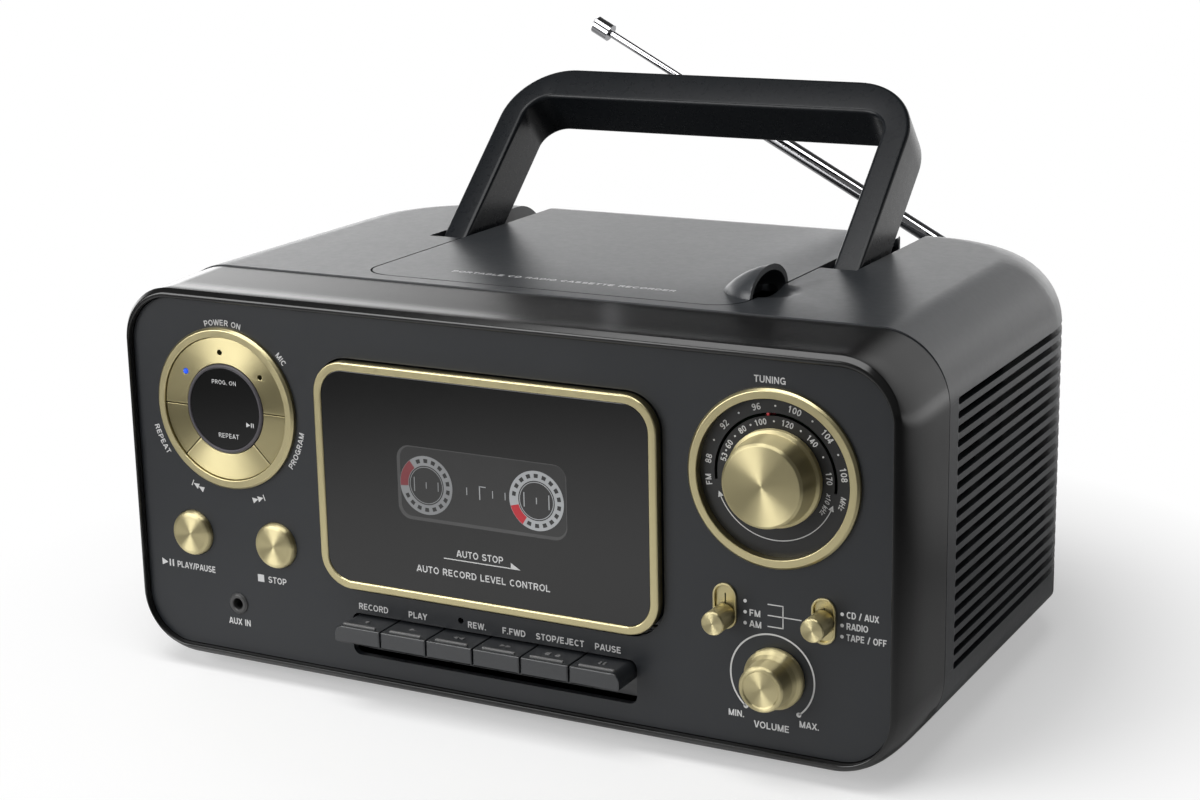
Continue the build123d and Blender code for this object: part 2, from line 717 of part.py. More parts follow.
for name, side_x in (("play_pause_button", -BUTTON_X), ("stop_button", BUTTON_X)):
    button = turned_y(
        side_x - DIAL_X,
        BUTTON_Z,
        (
            (0, -BUTTON_PROUD),
            (BUTTON_R - 0.7, -BUTTON_PROUD),
            (BUTTON_R, -BUTTON_PROUD + 0.7),
            (BUTTON_R, FLANGE_Y - 0.1),
            (BUTTON_R + 1.1, FLANGE_Y - 0.1),
            (BUTTON_R + 1.1, FLANGE_Y + FLANGE_T),
            (STEM_R, FLANGE_Y + FLANGE_T),
            (STEM_R, STEM_END),
            (0, STEM_END),
        ),
    )
    keep(name, button)

jack = turned_y(
    -DIAL_X,
    JACK_Z,
    (
        (JACK_R, -0.9),
        (JACK_RING - 0.5, -0.9),
        (JACK_RING, -0.4),
        (JACK_RING, 0),
        (JACK_RING - 0.6, 0),
        (JACK_RING - 0.6, BOARD_Y),
        (0, BOARD_Y),
        (0, JACK_DEPTH - 0.9),
        (JACK_R, JACK_DEPTH - 0.9),
    ),
)
keep("aux_jack", jack)

# The dial plate sits in the tuning ring; the needle shows through its curved slot
DIAL_FACE = 1.0
SHAFT_R = 3.0
SHAFT_END = BOARD_Y - 0.1
dial = rod_y(DIAL_X, DIAL_Z, RING_IN, DIAL_FACE, PANEL_T)
dial -= rod_y(DIAL_X, DIAL_Z, SHAFT_R + 1.5, 0, 5)
SLOT_SWEEP = 98.0
arc_slot = Circle(POINTER_R + 0.5) - Circle(POINTER_R - 0.5)
low_cut = make_face(
    Polyline(
        (0, 0),
        (60 * sin(radians(SLOT_SWEEP)), 60 * cos(radians(SLOT_SWEEP))),
        (60, -80),
        (-60, -80),
        (-60 * sin(radians(SLOT_SWEEP)), 60 * cos(radians(SLOT_SWEEP))),
        close=True,
    )
)
dial -= along_y(Pos(DIAL_X, DIAL_Z) * (arc_slot - low_cut), 0, 5)
keep("tuning_dial", dial)

knob = turned_y(
    DIAL_X,
    DIAL_Z,
    (
        (0, -KNOB_PROUD),
        (KNOB_END_R - 0.8, -KNOB_PROUD),
        (KNOB_END_R, -KNOB_PROUD + 0.8),
        (KNOB_R, -1.0),
        (KNOB_FLANGE, -0.9),
        (KNOB_FLANGE, DIAL_FACE - 0.3),
        (SHAFT_R, DIAL_FACE - 0.3),
        (SHAFT_R, SHAFT_END),
        (0, SHAFT_END),
    ),
)
keep("tuning_knob", knob)

ARM_Y = PANEL_T + 0.5
arm = Circle(SHAFT_R + 2) + Pos(0, POINTER_R / 2) * Rectangle(3.0, POINTER_R)
arm += Pos(0, POINTER_R) * Circle(1.5)
arm -= Circle(SHAFT_R)
needle = along_y(arm, ARM_Y, ARM_Y + 1.0)
needle += rod_y(0, POINTER_R, 0.42, DIAL_FACE + 0.2, ARM_Y)
needle = Pos(DIAL_X, 0, DIAL_Z) * Rot(0, -POINTER_ANGLE, 0) * needle
keep("tuning_pointer", needle)

volume = turned_y(
    VOLUME_X,
    VOLUME_Z,
    (
        (0, -VOLUME_PROUD + 0.5),
        (VOLUME_R - 1.4, -VOLUME_PROUD + 0.5),
        (VOLUME_R - 0.9, -VOLUME_PROUD),
        (VOLUME_R - 0.4, -VOLUME_PROUD),
        (VOLUME_R, -VOLUME_PROUD + 0.5),
        (VOLUME_R + 0.5, -4.6),
        (VOLUME_FLANGE, -2.6),
        (VOLUME_FLANGE, -0.3),
        (SHAFT_R, -0.3),
        (SHAFT_R, SHAFT_END),
        (0, SHAFT_END),
    ),
)
keep("volume_knob", volume)

# Slide switches: fixed pill plates, and round knobs whose stems run in their slots
pills = []
SLIDER_PLATE = 0.8
for x in (-SLIDER_X, SLIDER_X):
    edge = plate(-PILL_W / 2, PILL_W / 2, -PILL_H / 2, PILL_H / 2, PILL_W / 2 - 0.01)
    collar = plate(-PILL_W / 2 + 0.8, PILL_W / 2 - 0.8, -PILL_H / 2 + 0.8, PILL_H / 2 - 0.8, 3.2)
    pill = along_y(edge, -SLIDER_PLATE, 0) + along_y(collar, 0, PANEL_T)
    pill -= along_y(slider_slot, -3, 5)
    pills.append(Pos(DIAL_X + x, 0, SLIDER_Z) * pill)
keep("slider_plates", *pills)
SLIDER_STEM = 1.1
SWITCH_Y = 10.0
for name, x, lift in (("function_slider", -SLIDER_X, -0.8), ("band_slider", SLIDER_X, 0.0)):
    slider = turned_y(
        DIAL_X + x,
        SLIDER_Z + lift * SLIDER_TRAVEL,
        (
            (0, -SLIDER_PROUD),
            (SLIDER_R - 0.4, -SLIDER_PROUD),
            (SLIDER_R, -SLIDER_PROUD + 0.4),
            (SLIDER_R, -SLIDER_PLATE - 0.1),
            (SLIDER_STEM, -SLIDER_PLATE - 0.1),
            (SLIDER_STEM, SWITCH_Y - 0.1),
            (0, SWITCH_Y - 0.1),
        ),
    )
    keep(name, slider)

# ---------------------------------------------------------------- circuit boards
board_outline = plate(BOARD_X0, BOARD_X1, BOARD_Z0, BOARD_Z1, 1.0)
radio = along_y(board_outline, BOARD_Y, BOARD_Y + BOARD_T)
radio += block(DIAL_X - 11, DIAL_X + 11, BOARD_Y + BOARD_T, BOARD_Y + 16, DIAL_Z - 11, DIAL_Z + 11)
for x in (-SLIDER_X, SLIDER_X):
    radio += block(
        DIAL_X + x - 4, DIAL_X + x + 4, SWITCH_Y, BOARD_Y, SLIDER_Z - 8, SLIDER_Z + 8
    )
radio += rod_y(VOLUME_X, VOLUME_Z, 8.0, BOARD_Y + BOARD_T, BOARD_Y + 10)
for x, z in POST_SPOTS:
    radio += rod_y(x, z, 2.5, PANEL_T, BOARD_Y)
keep("radio_board", radio)
control = mirrored(along_y(board_outline, BOARD_Y, BOARD_Y + BOARD_T))
control += block(-DIAL_X - 12, -DIAL_X + 12, BOARD_Y + BOARD_T, BOARD_Y + 4, 34.0, 58.0)
for x, z in POST_SPOTS:
    control += rod_y(-x, z, 2.5, PANEL_T, BOARD_Y)
keep("control_board", control + light)

# ---------------------------------------------------------------- cassette door
frame_outline = plate(-DOOR_X, DOOR_X, DOOR_LOW, DOOR_HIGH, DOOR_R)
lens_outline = plate(
    -DOOR_X + DOOR_FACE,
    DOOR_X - DOOR_FACE,
    DOOR_LOW + DOOR_FACE,
    DOOR_HIGH - DOOR_FACE,
    DOOR_R - DOOR_FACE,
)
frame = along_y(frame_outline, -DOOR_PROUD, 0)
frame = chamfer(frame.faces().sort_by(Axis.Y)[0].edges(), 0.6)
frame -= along_y(lens_outline, -DOOR_PROUD - 1, 1)
keep("door_trim", frame)
keep("door_lens", along_y(lens_outline, -DOOR_PROUD + 0.4, 0))

WINDOW_X = 48.0
holder = along_y(frame_outline, 0, DOOR_BACK)
holder -= along_y(plate(-WINDOW_X, WINDOW_X, 54.0, 114.0, 5.0), -1, DOOR_BACK + 1)
RAIL_IN = 52.0
RAIL_OUT = 54.0
CASSETTE_LOW = 51.0
rail = block(RAIL_IN, RAIL_OUT, DOOR_BACK, BAY_DEPTH - 1.5, CASSETTE_LOW - 2, 116.0)
rail += block(WINDOW_X, RAIL_OUT, BAY_DEPTH - 3.0, BAY_DEPTH - 1.5, CASSETTE_LOW - 2, 116.0)
rail += block(34.0, RAIL_OUT, DOOR_BACK, BAY_DEPTH - 1.5, CASSETTE_LOW - 2, CASSETTE_LOW)
holder += rail + mirrored(rail)
bore = rod_x(DOOR_PIVOT_Y, DOOR_PIVOT_Z, DOOR_PIN_R + 0.15, DOOR_X - 9.2, DOOR_X + 1)
holder = holder - bore - mirrored(bore)
keep("cassette_holder", holder)

# ---------------------------------------------------------------- cassette mechanism
TRAY_LOW = 36.0
TRAY_HIGH = 126.0
chassis = block(-TRAY_X, TRAY_X, PANEL_T, BAY_DEPTH + CHASSIS_T, TRAY_LOW, TRAY_HIGH)
chassis -= block(-TRAY_X + 2, TRAY_X - 2, PANEL_T - 1, BAY_DEPTH, TRAY_LOW + 2, TRAY_HIGH - 2)
EAR_IN = KEYS_X + EAR_SIDE
leg = block(
    EAR_IN, max(TRAY_X, EAR_IN + 4), BAY_DEPTH, BAY_DEPTH + CHASSIS_T, KEY_PIVOT_Z - 12.0, TRAY_LOW
)
leg += block(
    EAR_IN, EAR_IN + 3, BAY_DEPTH, KEY_PIVOT_Y + 4, KEY_PIVOT_Z - 5, KEY_PIVOT_Z + 5
)
chassis += leg + mirrored(leg)
chassis += rod_x(KEY_PIVOT_Y, KEY_PIVOT_Z, KEY_SHAFT_R, -EAR_IN - 4, EAR_IN + 4)
for x in (-REEL_X, REEL_X):
    chassis -= rod_y(x, REEL_Z, 2.1, 0, 40)
chassis -= rod_y(CAPSTAN_X, CAPSTAN_Z, 1.35, 0, 40)
chassis -= rod_y(MOTOR_X, MOTOR_Z, 2.0, 0, 40)
keep("tape_chassis", chassis)

CHASSIS_BACK = BAY_DEPTH + CHASSIS_T
for name, x in (("supply_spindle", -REEL_X), ("takeup_spindle", REEL_X)):
    spindle = turned_y(
        x,
        REEL_Z,
        (
            (0, 4.0),
            (1.6, 4.6),
            (3.4, 7.5),
            (3.4, BAY_DEPTH - 1.6),
            (9.0, BAY_DEPTH - 1.6),
            (9.0, BAY_DEPTH - 0.1),
            (2.0, BAY_DEPTH - 0.1),
            (2.0, CHASSIS_BACK + 0.2),
            (12.0, CHASSIS_BACK + 0.2),
            (12.0, CHASSIS_BACK + 2.2),
            (0, CHASSIS_BACK + 2.2),
        ),
    )
    for n in range(3):
        fin = block(-0.6, 0.6, 7.5, BAY_DEPTH - 2, 0, 4.9)
        spindle += Pos(x, 0, REEL_Z) * Rot(0, 120 * n, 0) * fin
    keep(name, spindle)

WHEEL_Y = CHASSIS_BACK + 3.0
flywheel = turned_y(
    CAPSTAN_X,
    CAPSTAN_Z,
    (
        (0, 6.0),
        (1.25, 6.0),
        (1.25, WHEEL_Y),
        (FLYWHEEL_R, WHEEL_Y),
        (FLYWHEEL_R, WHEEL_Y + 1),
        (FLYWHEEL_R - BELT_T, WHEEL_Y + 2),
        (FLYWHEEL_R - BELT_T, WHEEL_Y + 4),
        (FLYWHEEL_R, WHEEL_Y + 5),
        (FLYWHEEL_R, WHEEL_Y + 6),
        (0, WHEEL_Y + 6),
    ),
)
keep("capstan_flywheel", flywheel)

PULLEY_IN = PULLEY_R - BELT_T
pulley = turned_y(
    MOTOR_X,
    MOTOR_Z,
    (
        (0, CHASSIS_BACK - 1.5),
        (1.0, CHASSIS_BACK - 1.5),
        (1.0, WHEEL_Y),
        (PULLEY_R, WHEEL_Y),
        (PULLEY_R, WHEEL_Y + 1),
        (PULLEY_IN, WHEEL_Y + 2),
        (PULLEY_IN, WHEEL_Y + 4),
        (PULLEY_R, WHEEL_Y + 5),
        (PULLEY_R, WHEEL_Y + 6),
        (1.0, WHEEL_Y + 6),
        (1.0, WHEEL_Y + 8.9),
        (0, WHEEL_Y + 8.9),
    ),
)
keep("motor_pulley", pulley)
motor = rod_y(MOTOR_X, MOTOR_Z, 13.0, WHEEL_Y + 7, WHEEL_Y + 30)
motor -= rod_y(MOTOR_X, MOTOR_Z, 1.0, WHEEL_Y + 6, WHEEL_Y + 9)
for z in (-15.0, 15.0):
    tab = block(MOTOR_X - 4, MOTOR_X + 4, WHEEL_Y + 7, WHEEL_Y + 9, MOTOR_Z + z - 3, MOTOR_Z + z + 3)
    tab += rod_y(MOTOR_X, MOTOR_Z + z * 1.1, 1.5, CHASSIS_BACK, WHEEL_Y + 7)
    motor += tab
keep("tape_motor", motor)

wheel = Pos(CAPSTAN_X, CAPSTAN_Z) * Circle(FLYWHEEL_R - BELT_T)
small = Pos(MOTOR_X, MOTOR_Z) * Circle(PULLEY_IN)
loop_out = make_hull(
    (Pos(CAPSTAN_X, CAPSTAN_Z) * Circle(FLYWHEEL_R)).edges()
    + (Pos(MOTOR_X, MOTOR_Z) * Circle(PULLEY_R)).edges()
)
loop_in = make_hull(wheel.edges() + small.edges())
belt = along_y(loop_out, WHEEL_Y + 2.2, WHEEL_Y + 3.8) - along_y(loop_in, WHEEL_Y, WHEEL_Y + 6)
keep("drive_belt", belt)

HEAD_LOW = 40.0
head = block(-26.0, 26.0, BAY_DEPTH - 1.7, BAY_DEPTH - 0.2, HEAD_LOW, HEAD_LOW + 9)
head += block(-6.5, 6.5, 6.0, BAY_DEPTH - 1.7, HEAD_LOW + 2, HEAD_LOW + 9)
head += block(-24.0, -18.0, 8.0, BAY_DEPTH - 1.7, HEAD_LOW + 1, HEAD_LOW + 6)
keep("head_plate", head)

# ---------------------------------------------------------------- piano keys
KEY_NAMES = ("record", "play", "rewind", "fast_forward", "stop_eject", "pause")
side_outline = make_face(
    Polyline(
        (-KEY_REACH, KEY_LIP_LOW),
        (-KEY_REACH, KEY_LIP_TOP - 0.6),
        (-KEY_REACH + 0.6, KEY_LIP_TOP),
        (0, KEY_TOP),
        (PANEL_T + 0.4, KEY_TOP),
        (PANEL_T + 2.0, KEY_TOP - 3.6),
        (KEY_PIVOT_Y + 2.5, KEY_TOP - 3.6),
        (KEY_PIVOT_Y + 2.5, KEY_PIVOT_Z - 3.0),
        (6.2, KEY_PIVOT_Z - 3.0),
        (6.2, 17.5),
        (4.2, 17.5),
        (4.2, KEY_LIP_LOW - 0.6),
        close=True,
    )
)
end_form = along_y(plate(-KEYS_X, KEYS_X, 0, KEY_TOP, 3.0), -KEY_REACH - 1, KEY_PIVOT_Y + 10)
for n, name in enumerate(KEY_NAMES):
    x0 = (n - KEY_N / 2) * KEY_PITCH + KEY_GAP / 2
    x1 = x0 + KEY_PITCH - KEY_GAP
    key = along_x(side_outline, x0, x1) & end_form
    key -= rod_x(KEY_PIVOT_Y, KEY_PIVOT_Z, KEY_SHAFT_R + 0.1, x0 - 1, x1 + 1)
    rib = block(x0 + 2.4, x1 - 2.4, -KEY_REACH + 1.2, -KEY_REACH + 2.4, KEY_LIP_TOP - 1, KEY_LIP_TOP + 0.8)
    keep(f"{name}_key", key + rib)

# ---------------------------------------------------------------- speakers
SPEAKER_Y = 100.0
SPEAKER_Z = 75.0
FLANGE_X = BODY_W / 2 - WALL
basket = turned_x(
    SPEAKER_Y,
    SPEAKER_Z,
    (
        (FLANGE_X, 33.0),
        (FLANGE_X, 40.0),
        (FLANGE_X - 3, 40.0),
        (FLANGE_X - 4, 38.0),
        (FLANGE_X - 20, 22.0),
        (FLANGE_X - 34, 22.0),
        (FLANGE_X - 34, 0),
        (FLANGE_X - 20, 0),
        (FLANGE_X - 20, 20.0),
        (FLANGE_X - 5, 36.0),
        (FLANGE_X - 3, 36.0),
        (FLANGE_X - 3, 33.0),
    ),
)
cone = turned_x(
    SPEAKER_Y,
    SPEAKER_Z,
    (
        (FLANGE_X - 3, 35.0),
        (FLANGE_X - 3, 31.0),
        (FLANGE_X - 14, 9.0),
        (FLANGE_X - 12, 0),
        (FLANGE_X - 20, 0),
        (FLANGE_X - 20, 8.0),
        (FLANGE_X - 15, 9.5),
        (FLANGE_X - 4, 31.5),
        (FLANGE_X - 4, 35.0),
    ),
)
keep("speaker_right", basket + cone)
keep("speaker_left", mirrored(basket + cone))

# ---------------------------------------------------------------- power parts
FLOOR = FOOT_H + WALL
core = block(58.0, 92.0, 125.0, 155.0, FLOOR, FLOOR + 40)
coil = block(63.0, 87.0, 118.0, 162.0, FLOOR + 8, FLOOR + 32)
keep("transformer", core + coil)

inlet = along_y(inlet_hole, BODY_REAR - 16, BODY_REAR - 0.5)
eight = Pos(INLET_X - 3.4, INLET_Z) * Circle(4.0) + Pos(INLET_X + 3.4, INLET_Z) * Circle(4.0)
eight += Pos(INLET_X, INLET_Z) * Rectangle(6.8, 5.2)
inlet -= along_y(eight, BODY_REAR - 12, BODY_REAR + 1)
for x in (-4.3, 4.3):
    inlet += rod_y(INLET_X + x, INLET_Z, 1.2, BODY_REAR - 13, BODY_REAR - 2.5)
wings = block(
    INLET_X - INLET_W / 2 - 4,
    INLET_X + INLET_W / 2 + 4,
    BODY_REAR - WALL - 2,
    BODY_REAR - WALL,
    INLET_Z - INLET_H / 2,
    INLET_Z + INLET_H / 2,
)
wings -= along_y(inlet_hole, 0, BIG)
keep("ac_inlet", inlet + wings)

DOOR_SLIP = 0.4
battery_door = block(
    BAY_X0 + DOOR_SLIP,
    BAY_X1 - DOOR_SLIP,
    BODY_REAR - WALL,
    BODY_REAR,
    BAY_LOW + DOOR_SLIP + 0.8,
    BAY_HIGH - DOOR_SLIP,
)
for z in (0, 1, 2):
    groove = block(-30, -10, BODY_REAR - 0.8, BODY_REAR + 1, BAY_HIGH - 6 - 2.4 * z, BAY_HIGH - 4.8 - 2.4 * z)
    battery_door -= groove
keep("battery_door", battery_door)
contacts = []
for x0, x1 in ((BAY_X0, BAY_X0 + 0.6), (BAY_X1 - 0.6, BAY_X1)):
    for z in (24.0, 45.0):
        contacts.append(block(x0, x1, BAY_Y + 6, BAY_Y + 24, z - 7, z + 7))
keep("battery_contacts", *contacts)

# ---------------------------------------------------------------- telescopic antenna
placing = Pos(ANTENNA_X, ANTENNA_Y, ANTENNA_Z) * Rot(0, 180 + ANTENNA_ANGLE, 0)
FORK_IN = 2.6
FORK_T = 2.0
disc_back = ANTENNA_Y - BOSS_Y
knuckle = along_y(Circle(BOSS_R - 0.5), -disc_back + 0.1, -FORK_R - 2)
cheek = block(-FORK_R, FORK_R, -FORK_R - 2, 0, FORK_IN, FORK_IN + FORK_T)
cheek += rod_z(0, 0, FORK_R, FORK_IN, FORK_IN + FORK_T)
knuckle += cheek + mirror(cheek, Plane.XY)
knuckle += rod_z(0, 0, 1.2, -FORK_IN, FORK_IN)
keep("antenna_knuckle", placing * knuckle)

eye = rod_z(0, 0, TUBE_R, -FORK_IN + 0.1, FORK_IN - 0.1)
eye += block(0, FORK_R + 2, -TUBE_R + 0.4, TUBE_R - 0.4, -FORK_IN + 0.1, FORK_IN - 0.1)
eye -= rod_z(0, 0, 1.3, -5, 5)
tube = rod_x(0, 0, TUBE_R, FORK_R + 1.2, ANTENNA_TUBE)
tube -= rod_x(0, 0, SECTION_R[0] + 0.1, FORK_R + 4.0, ANTENNA_TUBE + 1)
keep("antenna_tube", placing * (eye + tube))

SECTION_START = 14.0
TIP_START = 53.0
SECTION_L = ANTENNA_TUBE - SECTION_START
end = ANTENNA_TUBE
for n, r in enumerate(SECTION_R):
    end += SECTION_OUT
    inner_r = (SECTION_R + (TIP_R,))[n + 1] + 0.1
    section = rod_x(0, 0, r, end - SECTION_L + 6 * n, end)
    section -= rod_x(0, 0, inner_r, end - SECTION_L + 6 * n + 3, end + 1)
    keep(f"antenna_section_{n + 1}", placing * section)
tip = rod_x(0, 0, TIP_R, end - SECTION_L + TIP_START, end + TIP_OUT)
tip += rod_x(0, 0, CAP_R, end + TIP_OUT, end + TIP_OUT + CAP_L)
tip = chamfer(tip.edges().sort_by(Axis.X)[-1], 0.8)
keep("antenna_tip", placing * tip)
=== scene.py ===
from math import atan2, ceil, cos, degrees, pi, radians, sin, tan

import bmesh
import bpy
from mathutils import Matrix, Vector
from mathutils.geometry import tessellate_polygon


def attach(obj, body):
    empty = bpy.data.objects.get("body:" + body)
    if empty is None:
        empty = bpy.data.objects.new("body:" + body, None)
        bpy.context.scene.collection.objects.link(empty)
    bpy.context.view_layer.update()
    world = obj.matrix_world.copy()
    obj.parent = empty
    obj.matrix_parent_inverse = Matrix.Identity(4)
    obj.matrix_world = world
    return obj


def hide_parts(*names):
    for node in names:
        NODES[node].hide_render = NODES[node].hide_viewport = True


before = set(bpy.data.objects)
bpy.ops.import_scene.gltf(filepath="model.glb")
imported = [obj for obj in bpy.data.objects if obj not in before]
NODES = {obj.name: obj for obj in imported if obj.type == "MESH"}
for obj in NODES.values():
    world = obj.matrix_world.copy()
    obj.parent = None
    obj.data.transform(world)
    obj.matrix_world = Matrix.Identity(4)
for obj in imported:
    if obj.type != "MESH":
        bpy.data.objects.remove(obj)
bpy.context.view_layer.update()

# Lengths are millimetres unless a comment says otherwise: X to the right from the middle, Y back from
# the face of the front panel, Z up from the floor. Angles without radians() are degrees.
MM = 1000.0  # in a metre
MID_Y = 104.5  # from the panel's face back to the middle of the row frame


def pt(x, y, z):
    """A place in millimetres as a point in metres in the row frame."""
    return Vector((x / MM, (y - MID_Y) / MM, z / MM))


# ------------ camera
AZIMUTH, ELEVATION, ROLL = radians(28.04), radians(14.53), radians(-1.09)
EYE = (381.9, -631.6, 307.2)
SENSOR_WIDTH, FOCAL_LENGTH = 36.0, 69.17
SHIFT_X, SHIFT_Y = -0.0030, -0.0064  # shares of the sensor's width
FARTHEST = 20.0  # metres


def place_camera():
    """The photograph's view, with the picture rolled a little to the side."""
    back = Vector((sin(AZIMUTH) * cos(ELEVATION), -cos(AZIMUTH) * cos(ELEVATION), sin(ELEVATION)))
    right = Vector((cos(AZIMUTH), sin(AZIMUTH), 0.0))
    up = back.cross(right)
    across = right * cos(ROLL) + up * sin(ROLL)
    above = up * cos(ROLL) - right * sin(ROLL)
    data = bpy.data.cameras.new("camera")
    data.sensor_width = SENSOR_WIDTH
    data.lens = FOCAL_LENGTH
    data.shift_x = SHIFT_X
    data.shift_y = SHIFT_Y
    data.clip_end = FARTHEST
    cam = bpy.data.objects.new("camera", data)
    turn = Matrix((across, above, back)).transposed().to_4x4()
    cam.matrix_world = Matrix.Translation(pt(*EYE)) @ turn
    bpy.context.scene.collection.objects.link(cam)
    bpy.context.scene.camera = cam


place_camera()


# ------------ materials
# Noise cells in a metre: patches of tint and of gloss, then grain, then the rings of turned metal.
CLOUD, METAL_CLOUD, GLOSS = 35.0, 60.0, 420.0
PAPER, RUBBER, GRAIN, SATIN = 700.0, 900.0, 2500.0, 4000.0
TURNED = 5200.0
GRAIN_HEIGHT, RING_HEIGHT = 0.00004, 0.00002  # metres
RING_STRENGTH = 0.35
SPUN_STRETCH = 0.95  # how far a highlight is drawn out across the rings


class Nodes:
    """A material with a Principled shader, and short ways to add nodes to it."""

    def __init__(self, name, **sockets):
        self.material = bpy.data.materials.new(name)
        self.material.use_nodes = True
        self.tree = self.material.node_tree
        self.shader = next(n for n in self.tree.nodes if n.type == "BSDF_PRINCIPLED")
        for key, value in sockets.items():
            socket = self.shader.inputs[key.replace("_", " ")]
            if hasattr(value, "__len__") and len(value) == 3:
                value = (*value, 1.0)
            socket.default_value = value
        self.spot = None

    def add(self, kind, **values):
        """A new node, with the values of its inputs or its settings."""
        node = self.tree.nodes.new(kind)
        for key, value in values.items():
            if key in node.inputs.keys():
                node.inputs[key].default_value = value
            else:
                setattr(node, key, value)
        return node

    def link(self, a, out, b, into):
        self.tree.links.new(a.outputs[out], b.inputs[into])

    def place(self):
        """Object coordinates in metres, made once."""
        if self.spot is None:
            self.spot = self.add("ShaderNodeTexCoord")
        return self.spot

    def noise(self, scale, detail=2.0, rough=0.5):
        noise = self.add("ShaderNodeTexNoise", Scale=scale, Detail=detail, Roughness=rough)
        self.link(self.place(), "Object", noise, "Vector")
        return noise

    def ramp(self, source, out, low, high, start=0.3, end=0.7):
        """Two stops between two greys or colours."""
        ramp = self.add("ShaderNodeValToRGB")
        stops = ramp.color_ramp.elements
        for stop, value, where in ((stops[0], low, start), (stops[1], high, end)):
            colour = value if hasattr(value, "__len__") else (value, value, value)
            stop.color = (*colour[:3], 1.0)
            stop.position = where
        self.link(source, out, ramp, "Fac")
        return ramp

    def joined(self, operation, a, a_out, b, b_out):
        """Two values joined by a Math node's operation."""
        made = self.add("ShaderNodeMath", operation=operation)
        self.link(a, a_out, made, 0)
        self.link(b, b_out, made, 1)
        return made

    def bump(self, source, strength, distance):
        bump = self.add("ShaderNodeBump", Strength=strength, Distance=distance)
        self.link(source, "Fac", bump, "Height")
        self.link(bump, "Normal", self.shader, "Normal")


def moulded(name, low, high, rough_low, rough_high, grain=0.0, grain_size=GRAIN, **sockets):
    """A moulded or satin surface: a slight unevenness of colour and gloss, and a fine grain."""
    m = Nodes(name, **sockets)
    cloud = m.noise(CLOUD, 3.0)
    tint = m.ramp(cloud, "Fac", low, high)
    m.link(tint, "Color", m.shader, "Base Color")
    fine = m.noise(GLOSS, 4.0, 0.6)
    gloss = m.ramp(fine, "Fac", rough_low, rough_high)
    m.link(gloss, "Color", m.shader, "Roughness")
    if grain:
        bumps = m.noise(grain_size, 2.0, 0.55)
        m.bump(bumps, grain, GRAIN_HEIGHT)
    return m.material


def spun(name, colour, rough):
    """Metal turned on a lathe about the front to back line through the piece's origin."""
    m = Nodes(name, Metallic=1.0, Roughness=rough, Anisotropic=SPUN_STRETCH)
    split = m.add("ShaderNodeSeparateXYZ")
    m.link(m.place(), "Object", split, "Vector")
    flat = m.add("ShaderNodeCombineXYZ")
    m.link(split, "X", flat, "X")
    m.link(split, "Z", flat, "Z")
    turn = m.add(
        "ShaderNodeVectorTransform", vector_type="VECTOR", convert_from="OBJECT", convert_to="WORLD"
    )
    m.link(flat, "Vector", turn, "Vector")
    unit = m.add("ShaderNodeVectorMath", operation="NORMALIZE")
    m.link(turn, "Vector", unit, 0)
    m.link(unit, "Vector", m.shader, "Tangent")
    cloud = m.noise(METAL_CLOUD, 3.0)
    tint = m.ramp(cloud, "Fac", [c * 0.97 for c in colour], [c * 1.02 for c in colour])
    m.link(tint, "Color", m.shader, "Base Color")
    length = m.add("ShaderNodeVectorMath", operation="LENGTH")
    m.link(flat, "Vector", length, 0)
    line = m.add("ShaderNodeTexNoise", noise_dimensions="1D", Scale=TURNED, Detail=2.0)
    m.link(length, "Value", line, "W")
    m.bump(line, RING_STRENGTH, RING_HEIGHT)
    return m.material


GOLD = (0.56, 0.495, 0.285)
GOLD_DEEP = (0.54, 0.475, 0.265)


def satin(name, colour, share, rough_low, rough_high):
    """Gold with a satin grain; its darker patches have that share of the colour."""
    low = [c * share for c in colour]
    return moulded(name, low, colour, rough_low, rough_high, 0.15, SATIN, Metallic=1.0)


